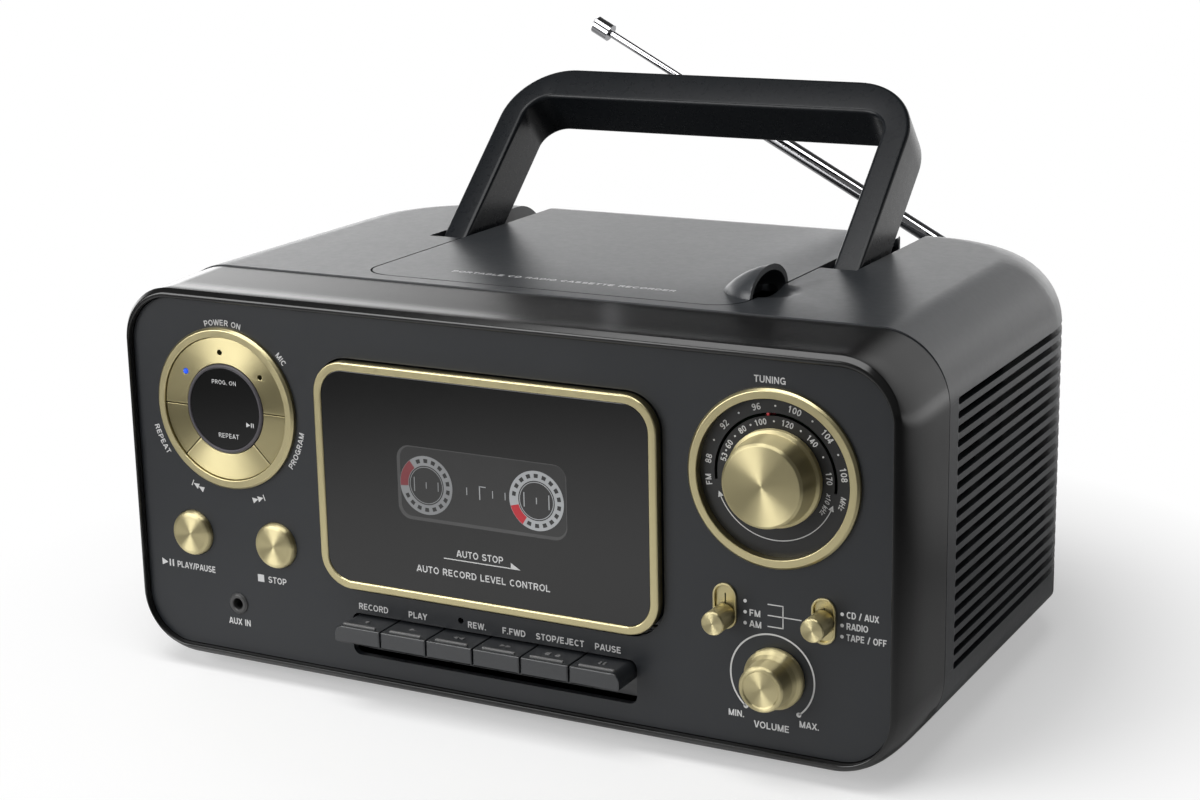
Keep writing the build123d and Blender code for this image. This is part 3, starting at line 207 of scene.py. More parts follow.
# Base colours from the darker patches to the lighter, then roughness from and to, then grain.
MATS = {
    "gloss": moulded("gloss_shell", (0.006,) * 3, (0.008,) * 3, 0.17, 0.21),
    "cabinet": moulded(
        "cabinet", (0.029, 0.032, 0.036), (0.035, 0.038, 0.042), 0.32, 0.36, 0.2, Specular_IOR_Level=0.6
    ),
    "panel": moulded("panel", (0.0085, 0.0102, 0.0128), (0.0105, 0.0122, 0.0148), 0.36, 0.42, 0.25),
    "handle": moulded(
        "handle", (0.0080, 0.0095, 0.0115), (0.0100, 0.0115, 0.0135), 0.26, 0.31, 0.2, Specular_IOR_Level=0.26
    ),
    "dark": moulded("dark_inner", (0.006,) * 3, (0.009,) * 3, 0.45, 0.6),
    "key": moulded(
        "key_plastic", (0.0105, 0.0122, 0.0148), (0.0135, 0.0152, 0.0178), 0.34, 0.40, 0.3,
        Specular_IOR_Level=0.85,
    ),
    # pale grey on the keys' raised marks and rib bars: a painted highlight
    "key_mark": moulded("key_mark", (0.13,) * 3, (0.15,) * 3, 0.3, 0.35),
    "gold": satin("gold_satin", GOLD, 0.95, 0.30, 0.36),
    "gold_spun": spun("gold_spun", GOLD, 0.40),
    "gold_ring": spun("gold_ring", GOLD_DEEP, 0.40),
    "gold_side": satin("gold_side", GOLD_DEEP, 0.9, 0.34, 0.4),
    "dial": moulded("dial_black", (0.007,) * 3, (0.009,) * 3, 0.35, 0.42),
    "jack": moulded("jack_black", (0.045,) * 3, (0.05,) * 3, 0.3, 0.36),
    "lens": moulded("smoked_lens", (0.002,) * 3, (0.003,) * 3, 0.10, 0.13, Specular_IOR_Level=0.66),
    "display": moulded("display_lens", (0.003,) * 3, (0.004,) * 3, 0.05, 0.07),
    "rim": moulded("display_rim", (0.055, 0.050, 0.058), (0.065, 0.060, 0.068), 0.35, 0.42),
    "print": moulded("white_print", (0.50,) * 3, (0.58,) * 3, 0.5, 0.6),
    "lid_print": moulded("pale_print", (0.60, 0.60, 0.61), (0.66, 0.66, 0.67), 0.3, 0.36),
    "window": moulded("window_print", (0.026,) * 3, (0.032,) * 3, 0.16, 0.22),
    "window_edge": moulded("window_edge", (0.06,) * 3, (0.07,) * 3, 0.2, 0.26),
    "reel_light": moulded("reel_light", (0.33, 0.34, 0.35), (0.38, 0.39, 0.40), 0.3, 0.4),
    # a darker copy of reel_light, painted shade for the left reel
    "reel_painted_shade": moulded("reel_painted_shade", (0.20, 0.205, 0.21), (0.24, 0.245, 0.25), 0.3, 0.4),
    "red": moulded("red_print", (0.42, 0.015, 0.025), (0.46, 0.02, 0.03), 0.35, 0.45),
    # a darker copy of red, painted shade for the left reel's mark
    "red_painted_shade": moulded("red_painted_shade", (0.16, 0.030, 0.036), (0.19, 0.034, 0.040), 0.3, 0.4),
    "blue": Nodes(
        "blue_light", Base_Color=(0.01, 0.04, 0.4), Emission_Color=(0.01, 0.09, 1.0), Emission_Strength=0.9
    ).material,
    "steel": moulded("steel", (0.45, 0.45, 0.46), (0.55, 0.55, 0.56), 0.3, 0.42, Metallic=1.0),
    "chrome": moulded("chrome", (0.62, 0.62, 0.64), (0.68, 0.68, 0.70), 0.07, 0.12, Metallic=1.0),
    "rubber": moulded("rubber", (0.012,) * 3, (0.018,) * 3, 0.6, 0.75, 0.3, RUBBER),
    "board": moulded("board", (0.02, 0.10, 0.03), (0.03, 0.13, 0.04), 0.4, 0.5),
    "paper": moulded("cone_paper", (0.015,) * 3, (0.03,) * 3, 0.7, 0.85, 0.5, PAPER),
}

KEY_NODES = ("record_key", "play_key", "rewind_key", "fast_forward_key", "stop_eject_key", "pause_key")
CAD_MATERIALS = {
    "cabinet": ("rear_cabinet", "cd_lid"),
    "gloss": ("front_cabinet",),
    "panel": ("front_panel",),
    "handle": ("handle",),
    "dark": (
        "cd_deck", "cassette_holder", "battery_door", "ac_inlet", "clamp_puck", "cd_turntable",
        "supply_spindle", "takeup_spindle", "laser_sled",
    ),
    "rim": ("display_bezel",),
    "red": ("tuning_pointer",),
    "gold": ("ring_trims", "door_trim", "slider_plates", "aux_jack"),
    "gold_spun": (
        "control_plate", "repeat_key", "skip_key", "program_key", "play_pause_button",
        "stop_button", "tuning_knob", "volume_knob", "function_slider", "band_slider",
    ),
    "dial": ("tuning_dial",),
    "lens": ("door_lens",),
    "display": ("display_lens",),
    "key": KEY_NODES,
    "steel": (
        "tape_chassis", "head_plate", "capstan_flywheel", "tape_motor", "motor_pulley",
        "cd_mechanism", "transformer", "battery_contacts", "cabinet_screws", "handle_pins",
    ),
    "chrome": (
        "antenna_knuckle", "antenna_tube", "antenna_section_1", "antenna_section_2", "antenna_tip",
    ),
    "rubber": ("feet", "drive_belt"),
    "board": ("radio_board", "control_board"),
    "paper": ("speaker_left", "speaker_right"),
}
for key, names in CAD_MATERIALS.items():
    for name in names:
        obj = NODES[name]
        obj.data.materials.clear()
        obj.data.materials.append(MATS[key])


# ------------ shape helpers
FRONT = Matrix(((1, 0, 0), (0, 0, 1), (0, 1, 0)))  # outlines of (x, z), thick along Y
UP = Matrix.Identity(3)  # outlines of (x, y), thick along Z
BACK = Vector((0, 1, 0))
SHARP = radians(30.0)  # an edge that turns further than this shows as an edge
SAME_POINT = 1e-7  # metres
FINE_BEVEL = 0.15  # a bevel wider than this is rounded in three steps, not two


def rounded(points, step=9.0):
    """A closed list of corners (a, b) or (a, b, radius), each radius turned into an arc of such steps."""
    out = []
    for i, p in enumerate(points):
        here = Vector(p[:2])
        r = p[2] if len(p) > 2 else 0.0
        if r <= 0:
            out.append(tuple(here))
            continue
        before = (Vector(points[i - 1][:2]) - here).normalized()
        after = (Vector(points[(i + 1) % len(points)][:2]) - here).normalized()
        half = before.angle(after) / 2
        centre = here + (before + after).normalized() * (r / sin(half))
        start = here + before * (r / tan(half)) - centre
        end = here + after * (r / tan(half)) - centre
        a0 = atan2(start.y, start.x)
        sweep = (atan2(end.y, end.x) - a0 + pi) % (2 * pi) - pi
        count = max(2, ceil(abs(degrees(sweep)) / step))
        for k in range(count + 1):
            a = a0 + sweep * k / count
            out.append((centre.x + r * cos(a), centre.y + r * sin(a)))
    return out


def rectangle(x0, x1, z0, z1, r=0.0, step=6.0):
    return rounded([(x0, z0, r), (x1, z0, r), (x1, z1, r), (x0, z1, r)], step)


def circle(r, count=64, x=0.0, z=0.0):
    return [(x + r * cos(2 * pi * k / count), z + r * sin(2 * pi * k / count)) for k in range(count)]


def oval(x, z, rx, rz, a0, a1, count=14):
    """Points on an oval about (x, z) between two angles, counted from the right."""
    angles = [radians(a0 + (a1 - a0) * k / count) for k in range(count + 1)]
    return [(x + rx * cos(a), z + rz * sin(a)) for a in angles]


def arc(r, a0, a1, count=None, x=0.0, z=0.0):
    return oval(x, z, r, r, a0, a1, count or max(2, ceil(abs(a1 - a0) / 3.0)))


def band(r0, r1, a0, a1):
    """A ring sector, counter-clockwise."""
    return arc(r1, a0, a1) + arc(r0, a1, a0)


def polar(x, z, r, clock):
    """The point at r from (x, z), at an angle from the top, clockwise."""
    return x + r * sin(radians(clock)), z + r * cos(radians(clock))


def moved(loop, x, z):
    return [(x + u, z + v) for u, v in loop]


def area(loop):
    """Above zero where the loop runs counter-clockwise."""
    return sum(a[0] * b[1] - b[0] * a[1] for a, b in zip(loop, loop[1:] + loop[:1])) / 2


def grown(loop, d):
    """The loop moved to its right by d, which is outwards where it runs counter-clockwise."""
    out = []
    n = len(loop)
    for i in range(n):
        a, b, c = Vector(loop[i - 1]), Vector(loop[i]), Vector(loop[(i + 1) % n])
        u = (b - a).normalized()
        v = (c - b).normalized()
        nu = Vector((u.y, -u.x))
        nv = Vector((v.y, -v.x))
        out.append(tuple(b + (nu + nv) * (d / max(1.0 + nu.dot(nv), 0.3))))
    return out


def finish_mesh(name, bm, material, body, at=(0.0, 0.0, 0.0), weighted=True):
    """The mesh as an object with its own origin, smooth but for its sharp edges, riding on a body."""
    bmesh.ops.remove_doubles(bm, verts=bm.verts, dist=SAME_POINT)
    bmesh.ops.recalc_face_normals(bm, faces=bm.faces)
    for face in bm.faces:
        face.smooth = True
    for edge in bm.edges:
        edge.smooth = len(edge.link_faces) == 2 and edge.calc_face_angle(0.0) < SHARP
    mesh = bpy.data.meshes.new(name)
    bm.to_mesh(mesh)
    bm.free()
    mesh.materials.append(material)
    obj = bpy.data.objects.new(name, mesh)
    obj.location = pt(*at)
    bpy.context.scene.collection.objects.link(obj)
    if weighted:
        mod = obj.modifiers.new("weighted", "WEIGHTED_NORMAL")
        mod.keep_sharp = True
    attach(obj, body)
    return obj


def join_rings(bm, lower, upper):
    """Four-sided faces between two closed rings of as many points."""
    for i in range(len(lower)):
        j = (i + 1) % len(lower)
        bm.faces.new((lower[i], lower[j], upper[j], upper[i]))


def add_slab(bm, loops, w0, w1, bevel=0.0, facing=FRONT, at=(0.0, 0.0, 0.0)):
    """A solid of the loops' outline from w0, the face, to w1; the first loop is the outside."""
    loops = [list(loop) for loop in loops]
    for i, loop in enumerate(loops):
        if (area(loop) > 0) != (i == 0):
            loop.reverse()
    way = 1.0 if w1 > w0 else -1.0
    levels = [(w0, 0.0)]
    if bevel > 0:
        steps = 3 if bevel > FINE_BEVEL else 2
        angles = [pi / 2 * k / steps for k in range(steps + 1)]
        levels = [(w0 + way * bevel * (1 - cos(a)), -bevel * (1 - sin(a))) for a in angles]
    levels.append((w1, 0.0))
    rings = []
    for w, d in levels:
        ring = []
        for loop in loops:
            pts = grown(loop, d) if d else loop
            ring.append([bm.verts.new((facing @ Vector((u, v, w)) + Vector(at)) / MM) for u, v in pts])
        rings.append(ring)
    for ra, rb in zip(rings, rings[1:]):
        for la, lb in zip(ra, rb):
            join_rings(bm, la, lb)
    for ring, (w, d) in ((rings[0], levels[0]), (rings[-1], levels[-1])):
        flat = [v for loop in ring for v in loop]
        polys = [[Vector((*p, 0.0)) for p in (grown(loop, d) if d else loop)] for loop in loops]
        if len(polys) == 1 and len(polys[0]) < 5:
            bm.faces.new(flat)
            continue
        for tri in tessellate_polygon(polys):
            try:
                bm.faces.new([flat[i] for i in tri])
            except ValueError:  # that face is there already
                pass


def slab(name, loops, y0, y1, material, body, at=(0.0, 0.0), bevel=0.25):
    """A plate seen from the front: outline loops of (x, z) from its face y0 back to y1."""
    bm = bmesh.new()
    add_slab(bm, loops, y0, y1, bevel)
    return finish_mesh(name, bm, MATS[material], body, (at[0], 0.0, at[1]))


def add_lathe(bm, profile, segments, at=(0.0, 0.0, 0.0)):
    """A solid turned about a line to the back, from a profile of (radius, distance along the line)."""
    side = BACK.orthogonal().normalized()
    other = BACK.cross(side)
    at = Vector(at)
    rings = []
    for r, w in profile:
        if r < 1e-6:
            rings.append([bm.verts.new((at + BACK * w) / MM)])
            continue
        ring = []
        for k in range(segments):
            a = 2 * pi * k / segments
            ring.append(bm.verts.new((at + BACK * w + (side * cos(a) + other * sin(a)) * r) / MM))
        rings.append(ring)
    pairs = list(zip(rings, rings[1:]))
    if len(rings[0]) > 1 or len(rings[-1]) > 1:
        pairs.append((rings[-1], rings[0]))
    for ra, rb in pairs:
        if len(ra) == 1 and len(rb) == 1:
            continue
        for k in range(segments):
            j = (k + 1) % segments
            corners = [ra[k % len(ra)], ra[j % len(ra)], rb[j % len(rb)], rb[k % len(rb)]]
            seen = []
            for v in corners:
                if v not in seen:
                    seen.append(v)
            if len(seen) > 2:
                bm.faces.new(seen)


def turned(name, profile, material, body, at, segments=96):
    """A turned piece; a third value in its profile rounds that corner."""
    bm = bmesh.new()
    add_lathe(bm, rounded(profile, 15.0), segments)
    return finish_mesh(name, bm, MATS[material], body, (at[0], 0.0, at[1]))


# ------------ lettering, drawn with strokes
LO, HI = 0.08, 0.92  # the middle of a stroke along the foot and along the head of the letters
STEM = [(0.09, 0), (0.09, 1)]
SPACING = 0.09
LIFT = 0.012  # between strokes that cross, in millimetres


def ring(x, z, rx, rz, count=20):
    return oval(x, z, rx, rz, -90, 270, count)[:-1]


# Each letter's width, then its strokes, one unit high; RINGS lists the strokes that close on themselves.
LETTERS = {
    "A": (0.68, [(0.05, 0), (0.32, 1)], [(0.36, 1), (0.63, 0)], [(0.15, 0.3), (0.53, 0.3)]),
    "B": (0.62, STEM, [(0.1, 0.51), (0.33, 0.51), *oval(0.34, 0.295, 0.2, 0.215, 90, -90), (0.1, LO)],
          [(0.1, HI), (0.33, HI), *oval(0.34, 0.715, 0.17, 0.205, 90, -90), (0.1, 0.51)]),
    "C": (0.66, oval(0.36, 0.5, 0.275, 0.42, 48, 312, 22)),
    "D": (0.66, STEM, [(0.1, LO), (0.3, LO), *oval(0.31, 0.5, 0.27, 0.42, -90, 90), (0.1, HI)]),
    "E": (0.60, [(0.54, HI), (0.09, HI), (0.09, LO), (0.55, LO)], [(0.09, 0.51), (0.5, 0.51)]),
    "F": (0.56, [(0.53, HI), (0.09, HI), (0.09, 0)], [(0.09, 0.49), (0.47, 0.49)]),
    "G": (0.70, [*oval(0.36, 0.5, 0.28, 0.42, 48, 325, 22), (0.61, 0.46), (0.37, 0.46)],
          [(0.62, 0.5), (0.62, 0.0)]),
    "H": (0.66, STEM, [(0.57, 0), (0.57, 1)], [(0.09, 0.51), (0.57, 0.51)]),
    "I": (0.18, STEM),
    "J": (0.50, [(0.41, 1), (0.41, 0.3), *oval(0.23, 0.27, 0.18, 0.19, 0, -170)]),
    "L": (0.54, [(0.09, 1), (0.09, LO), (0.52, LO)]),
    "M": (0.78, STEM, [(0.11, 0.95), (0.37, 0.02)], [(0.41, 0.02), (0.67, 0.95)], [(0.69, 0), (0.69, 1)]),
    "N": (0.66, STEM, [(0.11, 0.94), (0.55, 0.06)], [(0.57, 0), (0.57, 1)]),
    "O": (0.73, ring(0.365, 0.5, 0.285, 0.42, 28)),
    "P": (0.61, STEM, [(0.1, HI), (0.33, HI), *oval(0.34, 0.67, 0.19, 0.25, 90, -90), (0.1, 0.42)]),
    "R": (0.64, STEM, [(0.1, HI), (0.34, HI), *oval(0.35, 0.7, 0.19, 0.22, 90, -90), (0.1, 0.48)],
          [(0.36, 0.46), (0.57, 0)]),
    "S": (0.62, [*oval(0.31, 0.705, 0.21, 0.215, 25, 270, 12),
                 *oval(0.31, 0.285, 0.23, 0.205, 90, -160, 12)[1:]]),
    "T": (0.58, [(0.01, HI), (0.57, HI)], [(0.29, HI), (0.29, 0)]),
    "U": (0.66, [(0.09, 1), (0.09, 0.34), *oval(0.33, 0.34, 0.24, 0.26, 180, 360), (0.57, 1)]),
    "V": (0.62, [(0.04, 1), (0.29, 0)], [(0.33, 0), (0.58, 1)]),
    "W": (0.90, [(0.04, 1), (0.23, 0)], [(0.26, 0), (0.44, 1)], [(0.46, 1), (0.64, 0)],
          [(0.67, 0), (0.86, 1)]),
    "X": (0.62, [(0.05, 1), (0.57, 0)], [(0.57, 1), (0.05, 0)]),
    "Y": (0.62, [(0.04, 1), (0.31, 0.42)], [(0.31, 0.42), (0.58, 1)], [(0.31, 0.48), (0.31, 0)]),
    "0": (0.56, ring(0.28, 0.5, 0.2, 0.42, 24)),
    "1": (0.56, [(0.1, 0.73), (0.27, 0.86), (0.3, 1.0)], [(0.3, 1.0), (0.3, 0)]),
    "2": (0.56, [*oval(0.27, 0.7, 0.19, 0.22, 165, -25), (0.07, LO), (0.5, LO)]),
    "3": (0.56, oval(0.27, 0.71, 0.18, 0.21, 155, -90), oval(0.27, 0.29, 0.2, 0.21, 90, -155)),
    "4": (0.56, [(0.38, 0), (0.38, 1)], [(0.36, 0.95), (0.06, 0.27), (0.53, 0.27)]),
    "5": (0.56, [(0.47, HI), (0.14, HI), (0.1, 0.5), *oval(0.27, 0.33, 0.21, 0.25, 120, -150)]),
    "6": (0.56, ring(0.28, 0.3, 0.195, 0.22), [(0.085, 0.32), *oval(0.33, 0.42, 0.25, 0.5, 170, 55, 9)]),
    "7": (0.56, [(0.05, HI), (0.5, HI), (0.34, 0.5), (0.24, 0)]),
    "8": (0.56, ring(0.28, 0.71, 0.17, 0.21), ring(0.28, 0.29, 0.2, 0.21)),
    "9": (0.56, ring(0.28, 0.7, 0.195, 0.22), [(0.475, 0.68), *oval(0.23, 0.58, 0.25, 0.5, -10, -125, 9)]),
    "k": (0.50, [(0.08, 0), (0.08, 1)], [(0.45, 0.72), (0.12, 0.34)], [(0.22, 0.46), (0.48, 0)]),
    "x": (0.50, [(0.03, 0.72), (0.47, 0)], [(0.47, 0.72), (0.03, 0)]),
    "z": (0.48, [(0.03, 0.65), (0.42, 0.65), (0.05, 0.07), (0.45, 0.07)]),
    ".": (0.20, [(0.09, 0), (0.09, 0.17)]),
    "/": (0.34, [(0.02, -0.03), (0.32, 1.03)]),
    " ": (0.30,),
}
RINGS = {"O": (0,), "0": (0,), "6": (0,), "8": (0, 1), "9": (0,)}


def stroke(points, half, closed):
    """The outline of a line of even width, as one loop, or as two, the outer first, where it closes."""
    pts = [Vector(p) for p in points]
    sides = ([], [])
    n = len(pts)
    for i, p in enumerate(pts):
        before = pts[i - 1] if closed or i else None
        after = pts[(i + 1) % n] if closed or i < n - 1 else None
        u = (p - before).normalized() if before is not None else (after - p).normalized()
        v = (after - p).normalized() if after is not None else u
        m = Vector((u.y + v.y, -u.x - v.x))
        reach = half / max(1.0 + u.dot(v), 0.55)
        sides[0].append(tuple(p + m * reach))
        sides[1].append(tuple(p - m * reach))
    if not closed:
        return [sides[0] + sides[1][::-1]]
    return sorted(sides, key=lambda side: -abs(area(side)))


def width(text):
    return sum(LETTERS[c][0] + SPACING for c in text) - SPACING


class Ink:
    """Words and marks in one colour on one face, as one thin raised mesh."""

    def __init__(self, face, thick=0.03, facing=FRONT):
        self.bm = bmesh.new()
        self.face = face
        self.thick = thick
        self.facing = facing

    def words(self, text, x, z, size=2.05, turn=0.0, bold=0.17, wide=1.33, align="CENTER", slant=0.0):
        """Words on a straight line; (x, z) is the middle of their height, and their middle or start."""
        a = radians(turn)
        run = 0.0 if align == "LEFT" else -width(text) / 2
        for c in text:
            for k, line in enumerate(LETTERS[c][1:]):
                wider = [((run + u) * wide + slant * v, v - 0.5) for u, v in line]
                placed = []
                for loop in stroke(wider, bold / 2, k in RINGS.get(c, ())):
                    tilted = [(u * cos(a) - v * sin(a), u * sin(a) + v * cos(a)) for u, v in loop]
                    placed.append([(x + size * u, z + size * v) for u, v in tilted])
                self.shape(*placed, lift=LIFT * k)
            run += LETTERS[c][0] + SPACING

    def round_words(self, text, x, z, r, clock, size=2.05, wide=1.33, bold=0.17, under=False, slant=0.0):
        """Words set on a circle about (x, z); clock is the middle's angle from the top, clockwise."""
        way = -1.0 if under else 1.0
        run = -width(text) / 2
        for c in text:
            a = clock + way * degrees((run + LETTERS[c][0] / 2) * size * wide / r)
            run += LETTERS[c][0] + SPACING
            turn = -a + (180.0 if under else 0.0)
            self.words(c, *polar(x, z, r, a), size, turn, bold, wide, slant=slant)

    def shape(self, *loops, lift=0.0):
        """An outline and its holes; lift keeps strokes that cross from lying in one plane."""
        near = self.face - self.thick - lift
        add_slab(self.bm, loops, near, self.face + self.thick, facing=self.facing)

    def dot(self, x, z, r, count=24):
        self.shape(circle(r, count, x, z))

    def line(self, x0, z0, x1, z1, w):
        d = Vector((x1 - x0, z1 - z0)).normalized() * (w / 2)
        self.shape([(x0 + d.y, z0 - d.x), (x1 + d.y, z1 - d.x), (x1 - d.y, z1 + d.x), (x0 - d.y, z0 + d.x)])

    def box(self, x0, x1, z0, z1):
        self.shape(rectangle(x0, x1, z0, z1))

    def arrow(self, x, z, size, clock):
        """A solid triangle whose tip points clockwise by that many degrees from the top."""
        a = radians(clock)
        tip = [(0, size * 0.6), (-size * 0.5, -size * 0.4), (size * 0.5, -size * 0.4)]
        self.shape([(x + u * cos(a) + v * sin(a), z - u * sin(a) + v * cos(a)) for u, v in tip])

    def done(self, name, material, body):
        return finish_mesh(name, self.bm, MATS[material], body, weighted=False)


# ------------ front shell with its rounded lip
def frame_loop(x, low, high, r_low, r_high):
    """A rounded outline, with as many points whatever its size."""
    return rounded([(-x, low, r_low), (x, low, r_low), (x, high, r_high), (-x, high, r_high)], step=2.55)


SIDE, TOP, LOW, TOP_CORNER, LOW_CORNER = 150.5, 144.0, 2.5, 24.0, 28.0
SIDE_IN, LOW_UP, TOP_CORNER_LESS, LOW_CORNER_LESS = 5.5, 6.8, 6.3, 10.3  # at the pocket's mouth
LEDGE = frame_loop(139.8, 14.5, 133.3, 12.5, 12.5)
HOLLOW = frame_loop(148.0, 5.0, 141.5, 25.5, 21.5)
POCKET_DEPTH, PANEL_BACK, SHELL_BACK = 2.5, 5.0, 33.0
# Share of the way from the body's sides to the pocket, how far back, and how far the top lies below TOP.
CROWN = (
    (0.05, SHELL_BACK, 0.80), (0.0, 32.6, 0.45), (0.02, 20.0, 1.10), (0.06, 14.0, 1.40), (0.11, 10.0, 1.61),
    (0.18, 6.8, 1.76), (0.27, 4.3, 1.80), (0.37, 2.3, 1.84), (0.48, 0.6, 1.87), (0.58, -0.55, 1.97),
    (0.61, -0.82, 2.00), (0.64, -1.05, 2.20), (0.79, -2.15, 3.30), (0.84, -2.34, 3.52), (0.89, -2.46, 3.85),
    (0.93, -2.50, 4.29), (0.96, -2.42, 4.84), (0.985, -2.15, 5.22), (1.0, -1.70, 5.45), (1.0, -1.20, 5.50),
    (1.0, POCKET_DEPTH, 5.50),
)
POST = [(1.5, 2.6), (4.0, 2.6), (4.0, 57.0), (1.5, 57.0)]
POST_X, POST_Z = 100.0, (132.0, 12.0)


def crown_loop(t, drop):
    low_corner, top_corner = LOW_CORNER - LOW_CORNER_LESS * t, TOP_CORNER - TOP_CORNER_LESS * t
    return frame_loop(SIDE - SIDE_IN * t, LOW + LOW_UP * t, TOP - drop, low_corner, top_corner)


def front_shell():
    """The lip and sides as one closed skin, with hollow screw posts inside."""
    levels = [(crown_loop(t, drop), y) for t, y, drop in CROWN]
    levels += [(LEDGE, POCKET_DEPTH), (LEDGE, PANEL_BACK), (HOLLOW, PANEL_BACK), (HOLLOW, SHELL_BACK)]
    bm = bmesh.new()
    rings = [[bm.verts.new((x / MM, y / MM, z / MM)) for x, z in loop] for loop, y in levels]
    for lower, upper in zip(rings, rings[1:] + rings[:1]):
        join_rings(bm, lower, upper)
    for x in (-POST_X, POST_X):
        for z in POST_Z:
            add_lathe(bm, POST, 24, (x, 0, z))
    return finish_mesh("front_shell", bm, MATS["gloss"], "cabinet", weighted=False)


shell = front_shell()
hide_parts("front_cabinet")

# ------------ gold rings and keys, left
DIAL_X, DIAL_Z = 105.0, 100.2
LEFT, RIGHT = (-DIAL_X, DIAL_Z), (DIAL_X, DIAL_Z)
TRIM = [
    (26.0, 2.4), (26.0, -2.0, 0.3), (28.5, -2.0, 0.5), (29.3, -1.2, 0.3), (29.3, 0.0), (27.5, 0.0),
    (27.5, 2.4),
]
for centre, name in ((LEFT, "control_trim"), (RIGHT, "tuning_trim")):
    trim = turned(name, TRIM, "gold", "cabinet", centre, 160)
    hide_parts("ring_trims")

RING_IN, RING_OUT, RING_FACE, RING_GAP = 16.42, 25.8, -1.2, 0.16
SPOT_REACH, SPOT_HOLE, LIGHT_HOLE = 20.4, 0.9, 1.05
SPOTS = [polar(*LEFT, SPOT_REACH, clock) for clock in (-53.4, -2.9, 50.5)]  # the first is the light


def ring_piece(name, a0, a1, y1, body, node, spots=()):
    """A sector of the control ring, with a narrow split at each end."""
    g0, g1 = degrees(RING_GAP / RING_IN), degrees(RING_GAP / RING_OUT)
    outline = arc(RING_OUT, a0 + g1, a1 - g1) + arc(RING_IN, a1 - g0, a0 + g0)
    holes = [
        circle(SPOT_HOLE if n else LIGHT_HOLE, 24, x - LEFT[0], z - LEFT[1]) for n, (x, z) in enumerate(spots)
    ]
    piece = slab(name, [outline, *holes], RING_FACE, y1, "gold_ring", body, LEFT, 0.28)
    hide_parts(node)


ring_piece("control_arc", 0, 180, 3.6, "cabinet", "control_plate", SPOTS)
ring_piece("repeat_segment", 180, 225, 3.6, "repeat", "repeat_key")
ring_piece("skip_segment", 225, 315, 4.2, "skip", "skip_key")
ring_piece("program_segment", 315, 360, 3.6, "program", "program_key")
LIGHT_DOME = [(0, -1.75), (0.5, -1.68, 0.2), (0.98, -1.2, 0.2), (0.98, 4.0), (0, 4.0)]
SPOT_PLUG = [(0, 1.5), (0.89, 1.5), (0.89, 4.0), (0, 4.0)]
for n, spot in enumerate(SPOTS):
    turned(f"ring_spot_{n}", SPOT_PLUG if n else LIGHT_DOME, "dark" if n else "blue", "cabinet", spot, 24)

DISPLAY_FACE = -1.3
BEZEL = [
    (14.9, 4.0), (14.9, -1.55, 0.1), (15.15, -1.75, 0.2), (15.75, -1.75, 0.3), (16.2, -1.3, 0.2), (16.2, 4.0),
]
bezel = turned("display_ring", BEZEL, "rim", "cabinet", LEFT, 128)
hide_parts("display_bezel")
DISPLAY = [(0, DISPLAY_FACE), (14.75, DISPLAY_FACE, 0.1), (14.88, -1.15), (14.88, 0.8), (0, 0.8)]
display = turned("display_window", DISPLAY, "display", "cabinet", LEFT, 128)
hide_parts("display_lens")

# ------------ round buttons and jack
BUTTON_OFFSET, BUTTON_Z, JACK_Z = 18.2, 51.9, 27.4
BUTTON = [
    (0, -2.3), (6.6, -2.3, 1.0), (7.7, -2.05, 0.6), (8.2, -1.1, 0.5), (8.2, 2.6), (9.3, 2.6), (9.3, 3.6),
    (0, 3.6),
]
for name, side, body, node in (
    ("play_pause_cap", -1, "play_pause", "play_pause_button"),
    ("stop_cap", 1, "stop", "stop_button"),
):
    cap = turned(name, BUTTON, "gold_spun", body, (side * BUTTON_OFFSET - DIAL_X, BUTTON_Z))
    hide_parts(node)

JACK = [
    (2.05, 13.1), (2.05, -0.6, 0.2), (2.35, -0.9, 0.2), (3.2, -0.9, 0.3), (3.9, -0.35, 0.3), (3.9, 0.0),
    (3.3, 0.0), (3.3, 15.0), (0, 15.0), (0, 13.1),
]
jack = turned("aux_socket", JACK, "jack", "cabinet", (-DIAL_X, JACK_Z), 64)
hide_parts("aux_jack")

# ------------ tuning dial and knobs
DIAL_FACE = 1.0
pointer_slot = arc(20.9, 188, -8, 70) + arc(19.9, -8, 188, 70)
dial = slab("dial_face", [circle(25.95, 160), pointer_slot], DIAL_FACE, 2.45, "dial", "cabinet", RIGHT, 0.0)
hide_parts("tuning_dial")
SHAFT = [(3.0, 15.8), (0, 15.8)]
TUNING = [
    (0, -10.0), (12.9, -10.0, 0.4), (13.75, -9.2, 0.5), (14.75, -1.6, 0.5), (15.9, -1.0, 0.3), (16.0, 0.7),
    (3.0, 0.7), *SHAFT,
]
knob = turned("tuning_cap", TUNING, "gold_spun", "tuner", RIGHT, 128)
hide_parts("tuning_knob")

VOLUME_AT = (105.5, 34.2)
VOLUME = [
    (0, -11.6), (5.9, -11.6, 0.3), (6.35, -12.0, 0.15), (7.1, -12.0, 0.3), (7.65, -11.4, 0.4),
    (8.0, -5.2, 0.8), (8.9, -3.6, 0.8), (9.9, -2.6, 0.4), (10.2, -2.0, 0.2), (10.2, -0.3), (3.0, -0.3),
    *SHAFT,
]
volume = turned("volume_cap", VOLUME, "gold_spun", "volume", VOLUME_AT, 112)
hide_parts("volume_knob")

